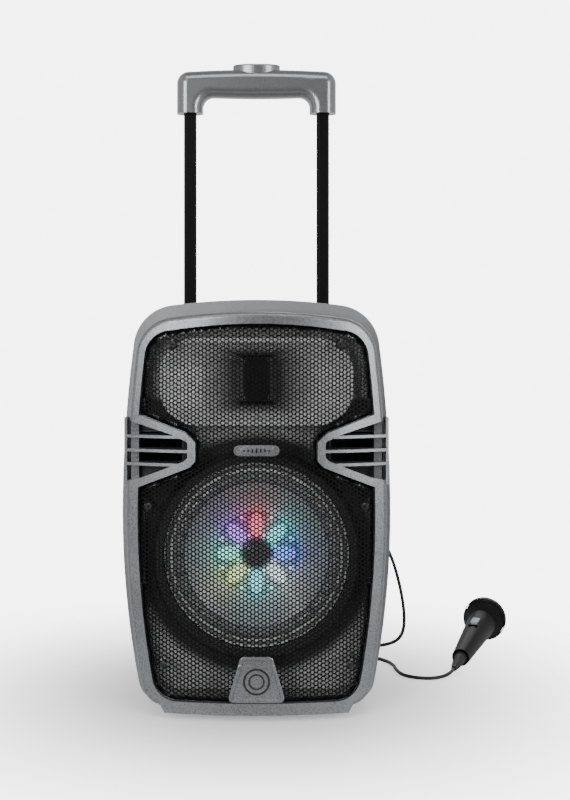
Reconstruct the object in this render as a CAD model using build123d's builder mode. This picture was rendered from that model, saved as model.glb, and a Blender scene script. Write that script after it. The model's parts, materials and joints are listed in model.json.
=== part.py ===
from build123d import *

import os
from math import cos, radians, sin, sqrt, tan

# Portable party speaker on trolley tubes, with a wired hand microphone.
# Millimetres. X to the right, Y to the back, Z up. The origin is on the floor,
# under the middle of the cabinet, at the middle of its depth.

# ---------------------------------------------------------------- driving sizes
HALF_WIDTH = 137.5  # rear shell, at its widest height
WIDEST_Z = 203.0
FLANK_LOW_R = 900.0  # the sides bulge: radius below and above the widest height
FLANK_HIGH_R = 1330.0
TOP_SAG = 11.0  # how far the top drops from its middle to its corners
TOP_Z = 422.0
FLOOR_GAP = 9.0  # the shell's underside stands this high on its plinth
SKIRT_BOTTOM = 6.0  # lower edge of the front frame's skirt
FRONT_Y = -118.0  # foremost line of the bowed front
SEAM_Y = -78.0  # where the front frame meets the rear shell
BREAK_Y = 20.0  # where the shell's sides begin to turn in
BACK_Y = 118.0
WALL = 3.5
RIM_DEEP = 4.0  # the shell's front rim, which closes the step between shell and front frame
BAFFLE_INSET = 7.0
BAFFLE_TOP = 407.0
BAFFLE_BOTTOM = 16.0
BOW_R = 370.0  # the front is bowed about an upright axis
BOW_AXIS_Y = FRONT_Y + BOW_R

FRAME_INSET = 5.0
FRAME_TOP = 410.0
OPENING_TOP = 398.5
OPENING_BOTTOM = 18.0
OPENING_SPLIT_Z = 268.0  # the opening is narrower below this height
UPPER_INSET = 14.0
LOWER_INSET = 17.0
LEDGE = 5.0
GRILLE_R = BOW_R - 3.0
GRILLE_THICK = 1.0
GRILLE_FOLD = 3.0  # its edge is folded back this far
GRILLE_GAP = 1.2
SLACK = 0.3  # assembly gap between curved neighbours

WOOFER_Z = 161.0
WOOFER_R = 94.5
HORN_Z = 339.0

TUBE_X = 76.0
TUBE_Y = 104.0
INNER_TUBE = (14.0, 20.0)
OUTER_TUBE = (18.0, 24.0)
CHANNEL = (24.0, 28.0)
CHANNEL_BOTTOM = 72.0
OUTER_TUBE_ENDS = (74.0, 396.0)
INNER_TUBE_BOTTOM = 300.0
TRAVEL = 220.0
LATCH_Z = 323.0
GRIP_BOTTOM = 634.0
GRIP_UNDER = 653.0
GRIP_TOP = 684.0
GRIP_HALF = 91.0

WHEEL_R = 30.0
WHEEL_WIDE = 20.0
WHEEL_X = 94.0
WHEEL_Y = 94.0
AXLE_R = 4.0
RUNNING = 0.05

PANEL = (114.0, 164.0)
PANEL_Z = 273.0
PANEL_THICK = 2.5
PANEL_Y = BACK_Y + PANEL_THICK  # outer face of the control panel
BUTTON_X = (-33.0, -11.0, 11.0, 33.0)
BUTTON_NAMES = ("mode_button", "previous_button", "play_button", "next_button")
BUTTON_Z = 314.0
KNOB_X = (-34.0, 0.0, 34.0)
KNOB_NAMES = ("volume_knob", "echo_knob", "mic_volume_knob")
KNOB_Z = 266.0
JACK_Z = 238.0
MIC_JACK_X = (12.0, 36.0)
AUX_X = -12.0
DC_AT = (-36.0, 238.0)
USB_AT = (-30.0, 292.0)
DISPLAY_AT = (0.0, 338.0)
ROCKER_AT = (-34.0, 214.0)


def both_sides(places):
    """The places and their mirror images on the left."""
    return [(side * x, z) for x, z in places for side in (-1, 1)]


GRILLE_SCREWS = both_sides([(84.5, 377), (109.5, 213), (94, 54)])
SHELL_SCREWS = both_sides([(102, 110), (104, 203), (100, 330), (40, 62), (40, 384)])
PANEL_SCREWS = both_sides([(40, 197), (40, 349)])


def around_woofer(count, radius, first_turn=0.0):
    """Evenly spaced places (x, z) on a circle about the woofer's axis."""
    turns = [radians(first_turn + 360 / count * step) for step in range(count)]
    return [(radius * cos(turn), WOOFER_Z + radius * sin(turn)) for turn in turns]


WOOFER_SCREWS = around_woofer(8, 89.5, first_turn=22.5)
LED_PLACES = around_woofer(8, 26.0)

MIC_TURN = 70.0  # degrees from +X to the lying microphone's axis
MIC_TILT = 6.75  # degrees, up towards its head
MIC_TAIL = Vector(222.0, 70.0, 5.95)

CORD_R = 2.0
COIL_AT = (62.0, 172.0)
COIL_MID_R = 22.0
COIL_TURNS_WIDE = 3
COIL_LAYERS = 3
TIE_THICK = 1.0  # the band that holds the coil together
TIE_WIDE = 12.0


def finish(builder, label):
    """Labels the finished piece and writes its STEP file."""
    builder.part.label = label
    export_step(builder.part, f"parts/{label}.step")


def facing(y):
    """A plane square to Y whose sketch reads as seen from the front: X right, Z up, normal -Y."""
    return Plane(origin=(0, y, 0), x_dir=(1, 0, 0), z_dir=(0, -1, 0))


def turned(profile, x=0.0, z=0.0):
    """A solid turned about the line parallel to Y at (x, z), from (y, radius) corners."""
    with BuildPart() as piece:
        with BuildSketch(Plane(origin=(x, 0, z), x_dir=(0, 1, 0), z_dir=(1, 0, 0))):
            with BuildLine():
                Polyline(*profile, close=True)
            make_face()
        revolve(axis=Axis((x, 0, z), (0, 1, 0)))
    return piece.part


def disc(x, z, radius, front, back):
    """A round bar parallel to Y, from y = front to y = back."""
    return turned([(front, 0), (back, 0), (back, radius), (front, radius)], x, z)


def plate(width, height, corner, x, z, front, back):
    """A rounded rectangular block parallel to Y, from y = front to y = back."""
    with BuildPart() as piece:
        with BuildSketch(facing(back)):
            with Locations((x, z)):
                RectangleRounded(width, height, corner)
        extrude(amount=back - front)
    return piece.part


def outline(inset, top, bottom, top_corner, bottom_corner):
    """The cabinet's outline seen from the front, drawn inset at the sides."""

    def half_width(z):
        drop = z - WIDEST_Z
        radius = FLANK_LOW_R if drop < 0 else FLANK_HIGH_R
        return HALF_WIDTH - inset - (radius - sqrt(radius**2 - drop**2))

    shoulder = top - TOP_SAG
    low, waist, high = bottom, WIDEST_Z, shoulder
    with BuildSketch() as face:
        with BuildLine():
            for start, end in ((low, waist), (waist, high)):
                bulge = [(half_width(z), z) for z in (start, (start + end) / 2, end)]
                ThreePointArc(*bulge)
            mirror(about=Plane.YZ)
            ThreePointArc((half_width(high), high), (0, top), (-half_width(high), high))
            Line((-half_width(low), low), (half_width(low), low))
        make_face()
        fillet(face.vertices().group_by(Axis.Y)[-1], top_corner)
        fillet(face.vertices().group_by(Axis.Y)[0], bottom_corner)
    return face.sketch


def wedges(corners, grow, nose_radius):
    """A wedge that points in from the right side, each side moved out by grow, and its mirror image."""
    points = [Vector(x, z) for x, z in corners]
    moved = []
    for before, here, after in zip(points[-1:] + points[:-1], points, points[1:] + points[:1]):
        arriving = (here - before).normalized()
        leaving = (after - here).normalized()
        out = Vector(arriving.Y, -arriving.X) + Vector(leaving.Y, -leaving.X)
        moved.append(here + out * (2 * grow / out.length**2))
    with BuildSketch() as wedge:
        with BuildLine():
            Polyline(*moved, close=True)
        make_face()
        fillet(wedge.vertices().sort_by(Axis.X)[:4], nose_radius)
        mirror(about=Plane.YZ)
    return wedge.sketch


# corners of the V-shaped arms at the sides, and of the vent windows inside them, for x > 0
ARM = (
    (152, 309), (117.5, 305), (71.5, 288), (61.5, 279),
    (61.5, 260), (67.5, 253.5), (120.5, 232), (152, 224),
)
VENT = (
    (152, 306), (127.5, 299), (83.5, 285.5), (69.5, 279),
    (69.5, 263), (73.5, 259.5), (116.5, 242), (152, 234),
)
VENT_BAR = (8.0, 62.0)  # upright bar behind the fins of each vent
VENT_BAR_X = 124.0
VENT_BAR_Z = 269.0
VENT_BAR_DEEP = 9.0


def opening(shrink):
    """The front frame's opening for the grille, made smaller all round by shrink."""
    top, bottom = OPENING_TOP - shrink, OPENING_BOTTOM + shrink
    with BuildSketch() as hole:
        for inset, cut_z in ((UPPER_INSET, OPENING_SPLIT_Z - 200), (LOWER_INSET, OPENING_SPLIT_Z + 200)):
            with BuildSketch(mode=Mode.PRIVATE) as half:
                add(outline(inset + shrink, top, bottom, 28 - shrink, 25 - shrink))
                with Locations((0, cut_z)):
                    Rectangle(400, 400, mode=Mode.SUBTRACT)
            add(half.sketch)
        add(wedges(ARM, shrink, 4 + shrink), mode=Mode.SUBTRACT)
    return hole.sketch


def bowed_sheet(sketch, inner_r, outer_r):
    """The part of a sheet between two radii of the bowed front that lies inside a sketch."""
    with BuildPart() as sheet:
        with BuildSketch(facing(SEAM_Y)):
            add(sketch)
        extrude(amount=SEAM_Y - FRONT_Y + 10)
        with Locations((0, BOW_AXIS_Y, 200)):
            Cylinder(outer_r, 900, mode=Mode.INTERSECT)
            Cylinder(inner_r, 900, mode=Mode.SUBTRACT)
    return sheet.part


# ---------------------------------------------------------------- cabinet
GROOVE_FLOOR_R = GRILLE_R - GRILLE_THICK - GRILLE_FOLD - SLACK  # the frame is cut back to here round the grille
with BuildPart() as front_frame:
    with BuildSketch(facing(SEAM_Y)):
        add(outline(FRAME_INSET, FRAME_TOP, 12, 40, 24))
    extrude(amount=SEAM_Y - FRONT_Y + 10)
    with Locations((0, BOW_AXIS_Y, 200)):
        Cylinder(BOW_R, 900, mode=Mode.INTERSECT)
    fillet(front_frame.edges().filter_by(lambda edge: edge.center().Y < SEAM_Y - 5), 5)
    with BuildSketch(facing(SEAM_Y)):
        with BuildLine():
            Polyline((-101, 30), (-98, 15), (-93, SKIRT_BOTTOM))
            Polyline((-93, SKIRT_BOTTOM), (93, SKIRT_BOTTOM), (98, 15), (101, 30), (-101, 30))
        make_face()
    extrude(amount=SEAM_Y - FRONT_Y + 10)
    with Locations((0, BOW_AXIS_Y, 200)):
        Cylinder(BOW_R, 900, mode=Mode.INTERSECT)
    add(bowed_sheet(opening(0), GROOVE_FLOOR_R, BOW_R + 20), mode=Mode.SUBTRACT)
    with BuildSketch(facing(SEAM_Y)):
        add(opening(LEDGE))
        add(wedges(VENT, 0, 3))
    extrude(amount=SEAM_Y - FRONT_Y + 10, mode=Mode.SUBTRACT)
    with BuildSketch(facing(SEAM_Y)):
        with Locations((-VENT_BAR_X, VENT_BAR_Z), (VENT_BAR_X, VENT_BAR_Z)):
            Rectangle(*VENT_BAR)
    extrude(amount=VENT_BAR_DEEP)
finish(front_frame, "front_frame")

REAR_SECTIONS = (  # y, side inset, top, top corner
    (SEAM_Y, 0.0, TOP_Z, 45.0),
    (BREAK_Y, 2.0, TOP_Z - 1, 45.0),
    (BACK_Y, 22.0, 404.0, 40.0),
)


def shell_solid(shrink):
    """The rear shell's form, solid, made smaller by shrink except at its open front."""
    with BuildPart() as body:
        for y, inset, top, corner in REAR_SECTIONS:
            depth = y - shrink if y == BACK_Y else y
            with BuildSketch(facing(depth)):
                add(outline(inset + shrink, top - shrink, FLOOR_GAP + shrink, corner - shrink, 26 - shrink))
        loft(ruled=True)
    return body.part


def wheel_well(grow):
    """The two spaces at the lower back corners that hold the wheels."""
    inner = WHEEL_X - WHEEL_WIDE / 2 - 4 - grow
    with BuildPart() as wells:
        for side in (-1, 1):
            with Locations((side * (inner + 50), WHEEL_Y + 20 - grow / 2, 20)):
                Box(100, 110 + grow, 92 + 2 * grow)
    return wells.part


def tube_channel(grow):
    """The two upright channels in the back that hold the trolley tubes."""
    with BuildPart() as channels:
        for side in (-1, 1):
            with Locations((side * TUBE_X, TUBE_Y - grow / 2, CHANNEL_BOTTOM - grow + 200)):
                Box(CHANNEL[0] + 2 * grow, CHANNEL[1] + grow, 400)
    return channels.part


with BuildPart() as rear_shell:
    add(shell_solid(0))
    with BuildPart(mode=Mode.PRIVATE) as cavity:
        add(shell_solid(WALL))
        add(wheel_well(WALL), mode=Mode.SUBTRACT)
        add(tube_channel(WALL), mode=Mode.SUBTRACT)
    add(cavity.part, mode=Mode.SUBTRACT)
    with BuildSketch(facing(SEAM_Y + RIM_DEEP)):
        add(outline(0.5, TOP_Z - 0.5, FLOOR_GAP + 0.5, 44.5, 25.5))
        add(outline(BAFFLE_INSET - SLACK, BAFFLE_TOP + SLACK, BAFFLE_BOTTOM - SLACK, 38, 22), mode=Mode.SUBTRACT)
    extrude(amount=RIM_DEEP)
    add(wheel_well(0), mode=Mode.SUBTRACT)
    add(tube_channel(0), mode=Mode.SUBTRACT)
    with BuildSketch(Plane.XY):
        with Locations((0, -10)):
            RectangleRounded(186, 136, 10)
            RectangleRounded(176, 126, 6, mode=Mode.SUBTRACT)
    extrude(amount=FLOOR_GAP + 1)
    with Locations((0, BACK_Y, PANEL_Z)):
        Box(104, 4 * WALL, 140, mode=Mode.SUBTRACT)
    for x, z in SHELL_SCREWS + PANEL_SCREWS:
        add(disc(x, z, 2.1, BACK_Y - 10, BACK_Y + 1), mode=Mode.SUBTRACT)
    for side in (-1, 1):
        with Locations(Plane(origin=(side * 78, WHEEL_Y, WHEEL_R), z_dir=(1, 0, 0))):
            Cylinder(AXLE_R + RUNNING, 14, mode=Mode.SUBTRACT)
finish(rear_shell, "rear_shell")

PORT = (49.0, 39.0)
PORT_X = 99.0
PORT_Z = 269.0
PORT_BACK = -10.0
WOOFER_SEAT = [(SEAM_Y, 84), (SEAM_Y, 108.5), (-94, 103), (-94, 95.5), (-84, 95.5), (-84, 84)]
with BuildPart() as front_baffle:
    with BuildSketch(facing(SEAM_Y + 5)):
        add(outline(BAFFLE_INSET, BAFFLE_TOP, BAFFLE_BOTTOM, 38, 22))
    extrude(amount=5)
    add(turned(WOOFER_SEAT, 0, WOOFER_Z))
    for x, z in GRILLE_SCREWS:
        add(disc(x, z, 4.5, -94.5, SEAM_Y))
        add(disc(x, z, 1.55, -96, SEAM_Y + 6), mode=Mode.SUBTRACT)
    add(disc(0, WOOFER_Z, WOOFER_R + 1, -96, -80), mode=Mode.SUBTRACT)
    add(disc(0, WOOFER_Z, 86, -96, -60), mode=Mode.SUBTRACT)
    add(plate(124, 76, 20, 0, HORN_Z, -90, -60), mode=Mode.SUBTRACT)
    for side in (-1, 1):
        add(plate(PORT[0] + 1, PORT[1] + 1, 5, side * PORT_X, PORT_Z, -90, -60), mode=Mode.SUBTRACT)
    for x, z in WOOFER_SCREWS:
        add(disc(x, z, 1.55, -90, -60), mode=Mode.SUBTRACT)
finish(front_baffle, "front_baffle")

with BuildPart() as grille:
    add(bowed_sheet(opening(GRILLE_GAP), GRILLE_R - GRILLE_THICK, GRILLE_R))
    with BuildSketch() as folded_edge:
        add(opening(GRILLE_GAP))
        add(opening(GRILLE_GAP + GRILLE_THICK), mode=Mode.SUBTRACT)
    add(bowed_sheet(folded_edge.sketch, GRILLE_R - GRILLE_THICK - GRILLE_FOLD, GRILLE_R))
    for x, z in GRILLE_SCREWS:
        add(disc(x, z, 1.7, -130, SEAM_Y), mode=Mode.SUBTRACT)
finish(grille, "grille")

with BuildPart() as grille_screws:
    for x, z in GRILLE_SCREWS:
        seat = BOW_AXIS_Y - sqrt(GRILLE_R**2 - (abs(x) - 3.8) ** 2) - SLACK
        tip = BOW_AXIS_Y - sqrt(GRILLE_R**2 - (abs(x) + 3.8) ** 2) + 14
        shank = [(tip, 0), (tip, 1.5), (seat, 1.5)]
        head = [(seat, 3.6), (seat - 1, 3.6), (seat - 2, 2.4), (seat - 2, 0)]
        add(turned(shank + head, x, z))
finish(grille_screws, "grille_screws")

with BuildPart() as name_badge:
    with BuildSketch() as badge_face:
        with Locations((0, 271)):
            SlotOverall(46, 11)
    add(bowed_sheet(badge_face.sketch, GRILLE_R + SLACK, GRILLE_R + 2.8))
finish(name_badge, "name_badge")

with BuildPart() as emblem_plate:
    with BuildSketch() as emblem_face:
        with BuildLine():
            Polyline((-29.5, 18.6), (29.5, 18.6), (16, 65), (-16, 65), close=True)
        make_face()
        fillet(emblem_face.vertices().group_by(Axis.Y)[-1], 7)
    add(bowed_sheet(emblem_face.sketch, GRILLE_R + SLACK, BOW_R + 0.8))
finish(emblem_plate, "emblem_plate")

FIN_Z = (283.6, 269.4, 255.5)
with BuildSketch() as louvre_face:
    for z in FIN_Z:
        with Locations((101, z)):
            Rectangle(64, 3)
    with Locations((133.3, 268)):
        Rectangle(3, 68)
    mirror(about=Plane.YZ)
with BuildPart() as vent_louvres:
    with BuildSketch(facing(SEAM_Y)):
        add(louvre_face.sketch)
    extrude(amount=SEAM_Y - FRONT_Y)
    with Locations((0, BOW_AXIS_Y, 200)):
        Cylinder(BOW_R - 2, 900, mode=Mode.INTERSECT)
    add(front_frame.part, mode=Mode.SUBTRACT)
finish(vent_louvres, "vent_louvres")

with BuildPart() as port_ducts:
    for side in (-1, 1):
        add(plate(PORT[0], PORT[1], 5, side * PORT_X, PORT_Z, SEAM_Y, PORT_BACK))
        bore = (PORT[0] - 4, PORT[1] - 4)
        add(plate(bore[0], bore[1], 3, side * PORT_X, PORT_Z, SEAM_Y - 1, PORT_BACK + 1), mode=Mode.SUBTRACT)
finish(port_ducts, "port_ducts")

with BuildPart() as rubber_feet:
    for x in (-70, 70):
        for y in (-63, 43):
            with Locations((x, y, FLOOR_GAP / 2)):
                Cylinder(8, FLOOR_GAP)
finish(rubber_feet, "rubber_feet")

SCREW_PROFILE = ((-12, 0), (2, 0), (2, 2.6), (1, 4), (0, 4), (0, 2), (-12, 2))
with BuildPart() as shell_screws:
    for places, seat in ((SHELL_SCREWS, BACK_Y), (PANEL_SCREWS, PANEL_Y)):
        for x, z in places:
            add(turned([(seat + y, radius) for y, radius in SCREW_PROFILE], x, z))
finish(shell_screws, "shell_screws")

# ---------------------------------------------------------------- loudspeakers
HORN_SECTIONS = ((-97.0, 188.0, 80.0, 30.0), (-80.0, 112.0, 64.0, 18.0), (-56.0, 26.0, 46.0, 9.0))
HORN_WALL = 2.5
HORN_FLANGE = (197.0, 89.0, 38.0)  # width, height, corner
HORN_THROAT_R = 32.0


def horn_form(grow, overrun):
    """The horn's flare as a solid, grown by its wall where wanted, run past its ends by overrun."""
    with BuildPart() as flare:
        for y, wide, high, corner in HORN_SECTIONS:
            with BuildSketch(facing(y)):
                with Locations((0, HORN_Z)):
                    RectangleRounded(wide + 2 * grow, high + 2 * grow, corner + grow)
        loft(ruled=True)
        if overrun:
            first, last = HORN_SECTIONS[0], HORN_SECTIONS[-1]
            add(plate(first[1], first[2], first[3], 0, HORN_Z, first[0] - overrun, first[0]))
            add(plate(last[1], last[2], last[3], 0, HORN_Z, last[0], last[0] + overrun))
    return flare.part


with BuildPart() as horn_flare:
    add(horn_form(HORN_WALL, 0))
    add(plate(*HORN_FLANGE, 0, HORN_Z, HORN_SECTIONS[0][0], HORN_SECTIONS[0][0] + 2))
    add(disc(0, HORN_Z, HORN_THROAT_R, HORN_SECTIONS[-1][0] - 4, HORN_SECTIONS[-1][0]))
    add(horn_form(0, 6), mode=Mode.SUBTRACT)
finish(horn_flare, "horn_flare")

TWEETER_FRONT = [(-56, 0), (-56, 32), (-50, 32), (-50, 34)]
TWEETER_MAGNET = [(-34, 34), (-34, 26), (-24, 26), (-24, 0)]
with BuildPart() as tweeter_driver:
    add(turned(TWEETER_FRONT + TWEETER_MAGNET, 0, HORN_Z))
finish(tweeter_driver, "tweeter_driver")

BASKET_WINDOWS = 6
BASKET_OUTSIDE = [(-82.5, 84), (-82.5, 94.5), (-80, 94.5), (-80, 85.5), (-78, 85.5), (-34, 52), (-28, 52)]
BASKET_INSIDE = [(-28, 22), (-30, 22), (-30, 50), (-35.5, 50), (-79, 83.2)]
with BuildPart() as woofer_basket:
    add(turned(BASKET_OUTSIDE + BASKET_INSIDE, 0, WOOFER_Z))
    for step in range(BASKET_WINDOWS):
        turn = 360 / BASKET_WINDOWS * step
        with Locations(Plane(origin=(0, -55, WOOFER_Z), z_dir=(sin(radians(turn)), 0, cos(radians(turn))))):
            with Locations((0, 0, 68)):
                Box(44, 26, 70, mode=Mode.SUBTRACT)
    for x, z in WOOFER_SCREWS:
        add(disc(x, z, 1.7, -90, -70), mode=Mode.SUBTRACT)
finish(woofer_basket, "woofer_basket")

WOOFER_SCREW_SHANK = [(-84.5, 0), (-68, 0), (-68, 1.5), (-82.5, 1.5)]
WOOFER_SCREW_HEAD = [(-82.5, 3.2), (-83.5, 3.2), (-84.5, 2)]
with BuildPart() as woofer_screws:
    for x, z in WOOFER_SCREWS:
        add(turned(WOOFER_SCREW_SHANK + WOOFER_SCREW_HEAD, x, z))
finish(woofer_screws, "woofer_screws")

SURROUND_LIP = -83.5  # front face of the surround's two glued lips
GLUE_FACE = SURROUND_LIP + 1
with BuildPart() as woofer_surround:
    with BuildSketch(Plane(origin=(0, 0, WOOFER_Z), x_dir=(0, 1, 0), z_dir=(1, 0, 0))):
        with BuildLine():
            Polyline((GLUE_FACE, 84.2), (GLUE_FACE, 86), (SURROUND_LIP, 86), (SURROUND_LIP, 85))
            ThreePointArc((SURROUND_LIP, 85), (SURROUND_LIP - 5, 80.2), (SURROUND_LIP, 75.4))
            Polyline((SURROUND_LIP, 75.4), (SURROUND_LIP, 74), (GLUE_FACE, 74), (GLUE_FACE, 76.2))
            ThreePointArc((GLUE_FACE, 76.2), (SURROUND_LIP - 3.8, 80.2), (GLUE_FACE, 84.2))
        make_face()
    revolve(axis=Axis((0, 0, WOOFER_Z), (0, 1, 0)))
finish(woofer_surround, "woofer_surround")

CONE_PROFILE = (
    (-82.3, 76), (-81.2, 76), (-81.2, 74.2), (-46.5, 14.3),
    (-19, 14.3), (-19, 13.3), (-48, 13.3), (-82.3, 73.4),
)
with BuildPart() as woofer_cone:
    add(turned(CONE_PROFILE, 0, WOOFER_Z))
finish(woofer_cone, "woofer_cone")

with BuildPart() as woofer_spider:
    add(turned([(-44, 14.4), (-43.2, 14.4), (-43.2, 55.4), (-44, 55.4)], 0, WOOFER_Z))
finish(woofer_spider, "woofer_spider")

MAGNET_PROFILE = (
    (-28, 14.9), (-28, 45), (-3, 45), (-3, 0), (-28, 0),
    (-28, 12.6), (-8, 12.6), (-8, 20), (-22, 20), (-22, 14.9),
)
with BuildPart() as woofer_magnet:
    add(turned(MAGNET_PROFILE, 0, WOOFER_Z))
finish(woofer_magnet, "woofer_magnet")

with BuildPart() as led_board:
    add(disc(0, WOOFER_Z, 10, -70, -28))
    add(disc(0, WOOFER_Z, 43, -71.5, -70))
    for x, z in LED_PLACES:
        add(plate(5, 5, 1, x, z, -73, -71))
finish(led_board, "led_board")

LENS_FRONT = -91.0
LENS_R = 57.0  # radius of its domed front
LENS_WALL = 2.0
LENS_BASE = -71.5
with BuildPart() as led_lens:
    with Locations((0, LENS_FRONT + LENS_R, WOOFER_Z)):
        Sphere(LENS_R)
        Sphere(LENS_R - LENS_WALL, mode=Mode.SUBTRACT)
    split(bisect_by=facing(LENS_BASE), keep=Keep.TOP)
finish(led_lens, "led_lens")

# ---------------------------------------------------------------- control panel and electronics
with BuildPart() as control_panel:
    add(plate(PANEL[0], PANEL[1], 6, 0, PANEL_Z, BACK_Y, PANEL_Y))
    with BuildSketch(facing(PANEL_Y + 1)):
        with Locations(DISPLAY_AT):
            RectangleRounded(62, 22, 2)
        with Locations(*[(x, BUTTON_Z) for x in BUTTON_X]):
            RectangleRounded(12, 8, 2)
        with Locations(*[(x, KNOB_Z) for x in KNOB_X]):
            Circle(3 + RUNNING)
        with Locations(*[(x, JACK_Z) for x in MIC_JACK_X]):
            Circle(5.6)
        with Locations((AUX_X, JACK_Z)):
            Circle(3.6)
        with Locations(DC_AT):
            Circle(4.6)
        with Locations(USB_AT):
            RectangleRounded(14.4, 7.4, 1)
        with Locations(ROCKER_AT):
            Rectangle(12.4, 18.4)
        with Locations(*PANEL_SCREWS):
            Circle(2.1)
    extrude(amount=PANEL_THICK + 2, mode=Mode.SUBTRACT)
finish(control_panel, "control_panel")

with BuildPart() as display_window:
    add(plate(61.4, 21.4, 2, DISPLAY_AT[0], DISPLAY_AT[1], BACK_Y + 0.3, PANEL_Y + 0.4))
finish(display_window, "display_window")

for name, x in zip(BUTTON_NAMES, BUTTON_X):
    with BuildPart() as push_button:
        add(plate(11.4, 7.4, 1.7, x, BUTTON_Z, BACK_Y - 1.5, PANEL_Y + 2))
        add(plate(14, 10, 2, x, BUTTON_Z, BACK_Y - 2.5, BACK_Y - 1.2))
        fillet(push_button.faces().sort_by(Axis.Y)[-1].edges(), 0.6)
    finish(push_button, name)

KNOB_PROFILE = [(1, 0), (15, 0), (15, 7.4), (2.5, 8.4), (1, 9.4)]
for name, x in zip(KNOB_NAMES, KNOB_X):
    with BuildPart() as knob:
        add(disc(x, KNOB_Z, 3, 104, PANEL_Y + 2))
        add(turned([(PANEL_Y + y, radius) for y, radius in KNOB_PROFILE], x, KNOB_Z))
        add(plate(1.2, 7, 0.4, x, KNOB_Z + 4, PANEL_Y + 14, PANEL_Y + 15.6))
    finish(knob, name)

ROCKER_PIVOT_Y = BACK_Y + 0.5
ROCKER_R = 9.0
ROCKER_TILT = 8.0
ROCKER_WIDE = 11.8
rocker_x, rocker_z = ROCKER_AT
rocker_side = (rocker_x - ROCKER_WIDE / 2, ROCKER_PIVOT_Y, rocker_z)
with BuildPart() as power_rocker:
    with BuildSketch(Plane(origin=rocker_side, x_dir=(0, 1, 0), z_dir=(1, 0, 0))):
        Circle(ROCKER_R)
        rise = ROCKER_R * tan(radians(ROCKER_TILT))
        with BuildLine(Rotation(0, 0, ROCKER_TILT) * Plane.XY):
            Polyline((-10, 10), (3.4 + rise, 10), (3.4, 0), (3.4 + rise, -10), (-10, -10), close=True)
        make_face(mode=Mode.INTERSECT)
    extrude(amount=ROCKER_WIDE)
finish(power_rocker, "power_rocker")


def jack(x, bush_r, bore_r, depth, half):
    """A jack socket: a square body behind the panel, a bush through it, a round nut and a blind bore."""
    mouth = PANEL_Y + 2
    with BuildPart() as socket:
        add(plate(2 * half, 2 * half, 1, x, JACK_Z, mouth - depth - 2, BACK_Y - 0.1))
        add(disc(x, JACK_Z, bush_r, BACK_Y - 1, mouth - 1))
        add(disc(x, JACK_Z, bush_r + 1.8, PANEL_Y, mouth))
        add(disc(x, JACK_Z, bore_r, mouth - depth, mouth + 1), mode=Mode.SUBTRACT)
    return socket.part


MIC_BORE_R = 3.25
MIC_BORE_DEPTH = 28.5
with BuildPart() as input_jacks:
    for x in MIC_JACK_X:
        add(jack(x, 5.5, MIC_BORE_R, MIC_BORE_DEPTH, 7.5))
    add(jack(AUX_X, 3.5, 1.8, 15, 4.5))
finish(input_jacks, "input_jacks")

with BuildPart() as usb_socket:
    add(plate(14, 7, 0.8, USB_AT[0], USB_AT[1], 104, PANEL_Y + 0.3))
    add(plate(12.4, 5, 0.4, USB_AT[0], USB_AT[1], 107, PANEL_Y + 1), mode=Mode.SUBTRACT)
    add(plate(11, 1.8, 0.3, USB_AT[0], USB_AT[1] + 1.2, 106, PANEL_Y - 1))
finish(usb_socket, "usb_socket")

with BuildPart() as dc_socket:
    add(disc(DC_AT[0], DC_AT[1], 4.5, 106, PANEL_Y + 0.4))
    add(disc(DC_AT[0], DC_AT[1], 2.8, 110, PANEL_Y + 1), mode=Mode.SUBTRACT)
    add(disc(DC_AT[0], DC_AT[1], 1, 109, PANEL_Y - 1))
finish(dc_socket, "dc_socket")

BOARD_Y = 88.0
with BuildPart() as amplifier_board:
    add(plate(100, 134, 2, 0, PANEL_Z, BOARD_Y, BOARD_Y + 1.6))
    for x in (-46, 46):
        for z in (208, 338):
            add(disc(x, z, 3, BOARD_Y + 1, BACK_Y))
    for x in KNOB_X:
        add(plate(16, 16, 1, x, KNOB_Z, BOARD_Y + 1, 103.8))
    for x in BUTTON_X:
        add(plate(6, 6, 1, x, BUTTON_Z, BOARD_Y + 1, BACK_Y - 4))
    for x, z, radius, long in ((-30, 240, 8, 26), (-10, 240, 8, 26), (12, 236, 6, 18), (28, 236, 6, 18)):
        add(disc(x, z, radius, BOARD_Y - long, BOARD_Y + 0.5))
    add(plate(84, 6, 1, 0, 300, 58, BOARD_Y + 0.5))
    for step in range(8):
        add(plate(2, 26, 0.8, -38.5 + 11 * step, 300, 58, 80))
finish(amplifier_board, "amplifier_board")

BATTERY = (90.0, 68.0, 101.0)
BATTERY_Y = 54.0
CABINET_FLOOR = FLOOR_GAP + WALL
with BuildPart() as battery:
    with Locations((0, BATTERY_Y, CABINET_FLOOR + BATTERY[2] / 2)):
        Box(BATTERY[0], BATTERY[1] - 6, BATTERY[2])
        Box(BATTERY[0] - 6, BATTERY[1], BATTERY[2] - 8)
    for x in (-34, 34):
        with Locations((x, BATTERY_Y + 20, CABINET_FLOOR + BATTERY[2] + 2)):
            Box(5, 1, 5)
finish(battery, "battery")

STRAP = 2.0
with BuildPart() as battery_bracket:
    with BuildSketch(facing(BATTERY_Y + 8)):
        half, top = BATTERY[0] / 2 + 0.2, CABINET_FLOOR + BATTERY[2] + 0.2
        with Locations((0, (CABINET_FLOOR + top + STRAP) / 2)):
            Rectangle(2 * (half + STRAP), top + STRAP - CABINET_FLOOR)
        with Locations((0, CABINET_FLOOR + STRAP / 2)):
            Rectangle(2 * (half + 16), STRAP)
        with Locations((0, (CABINET_FLOOR + top) / 2)):
            Rectangle(2 * half, top - CABINET_FLOOR, mode=Mode.SUBTRACT)
    extrude(amount=20)
finish(battery_bracket, "battery_bracket")


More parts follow.
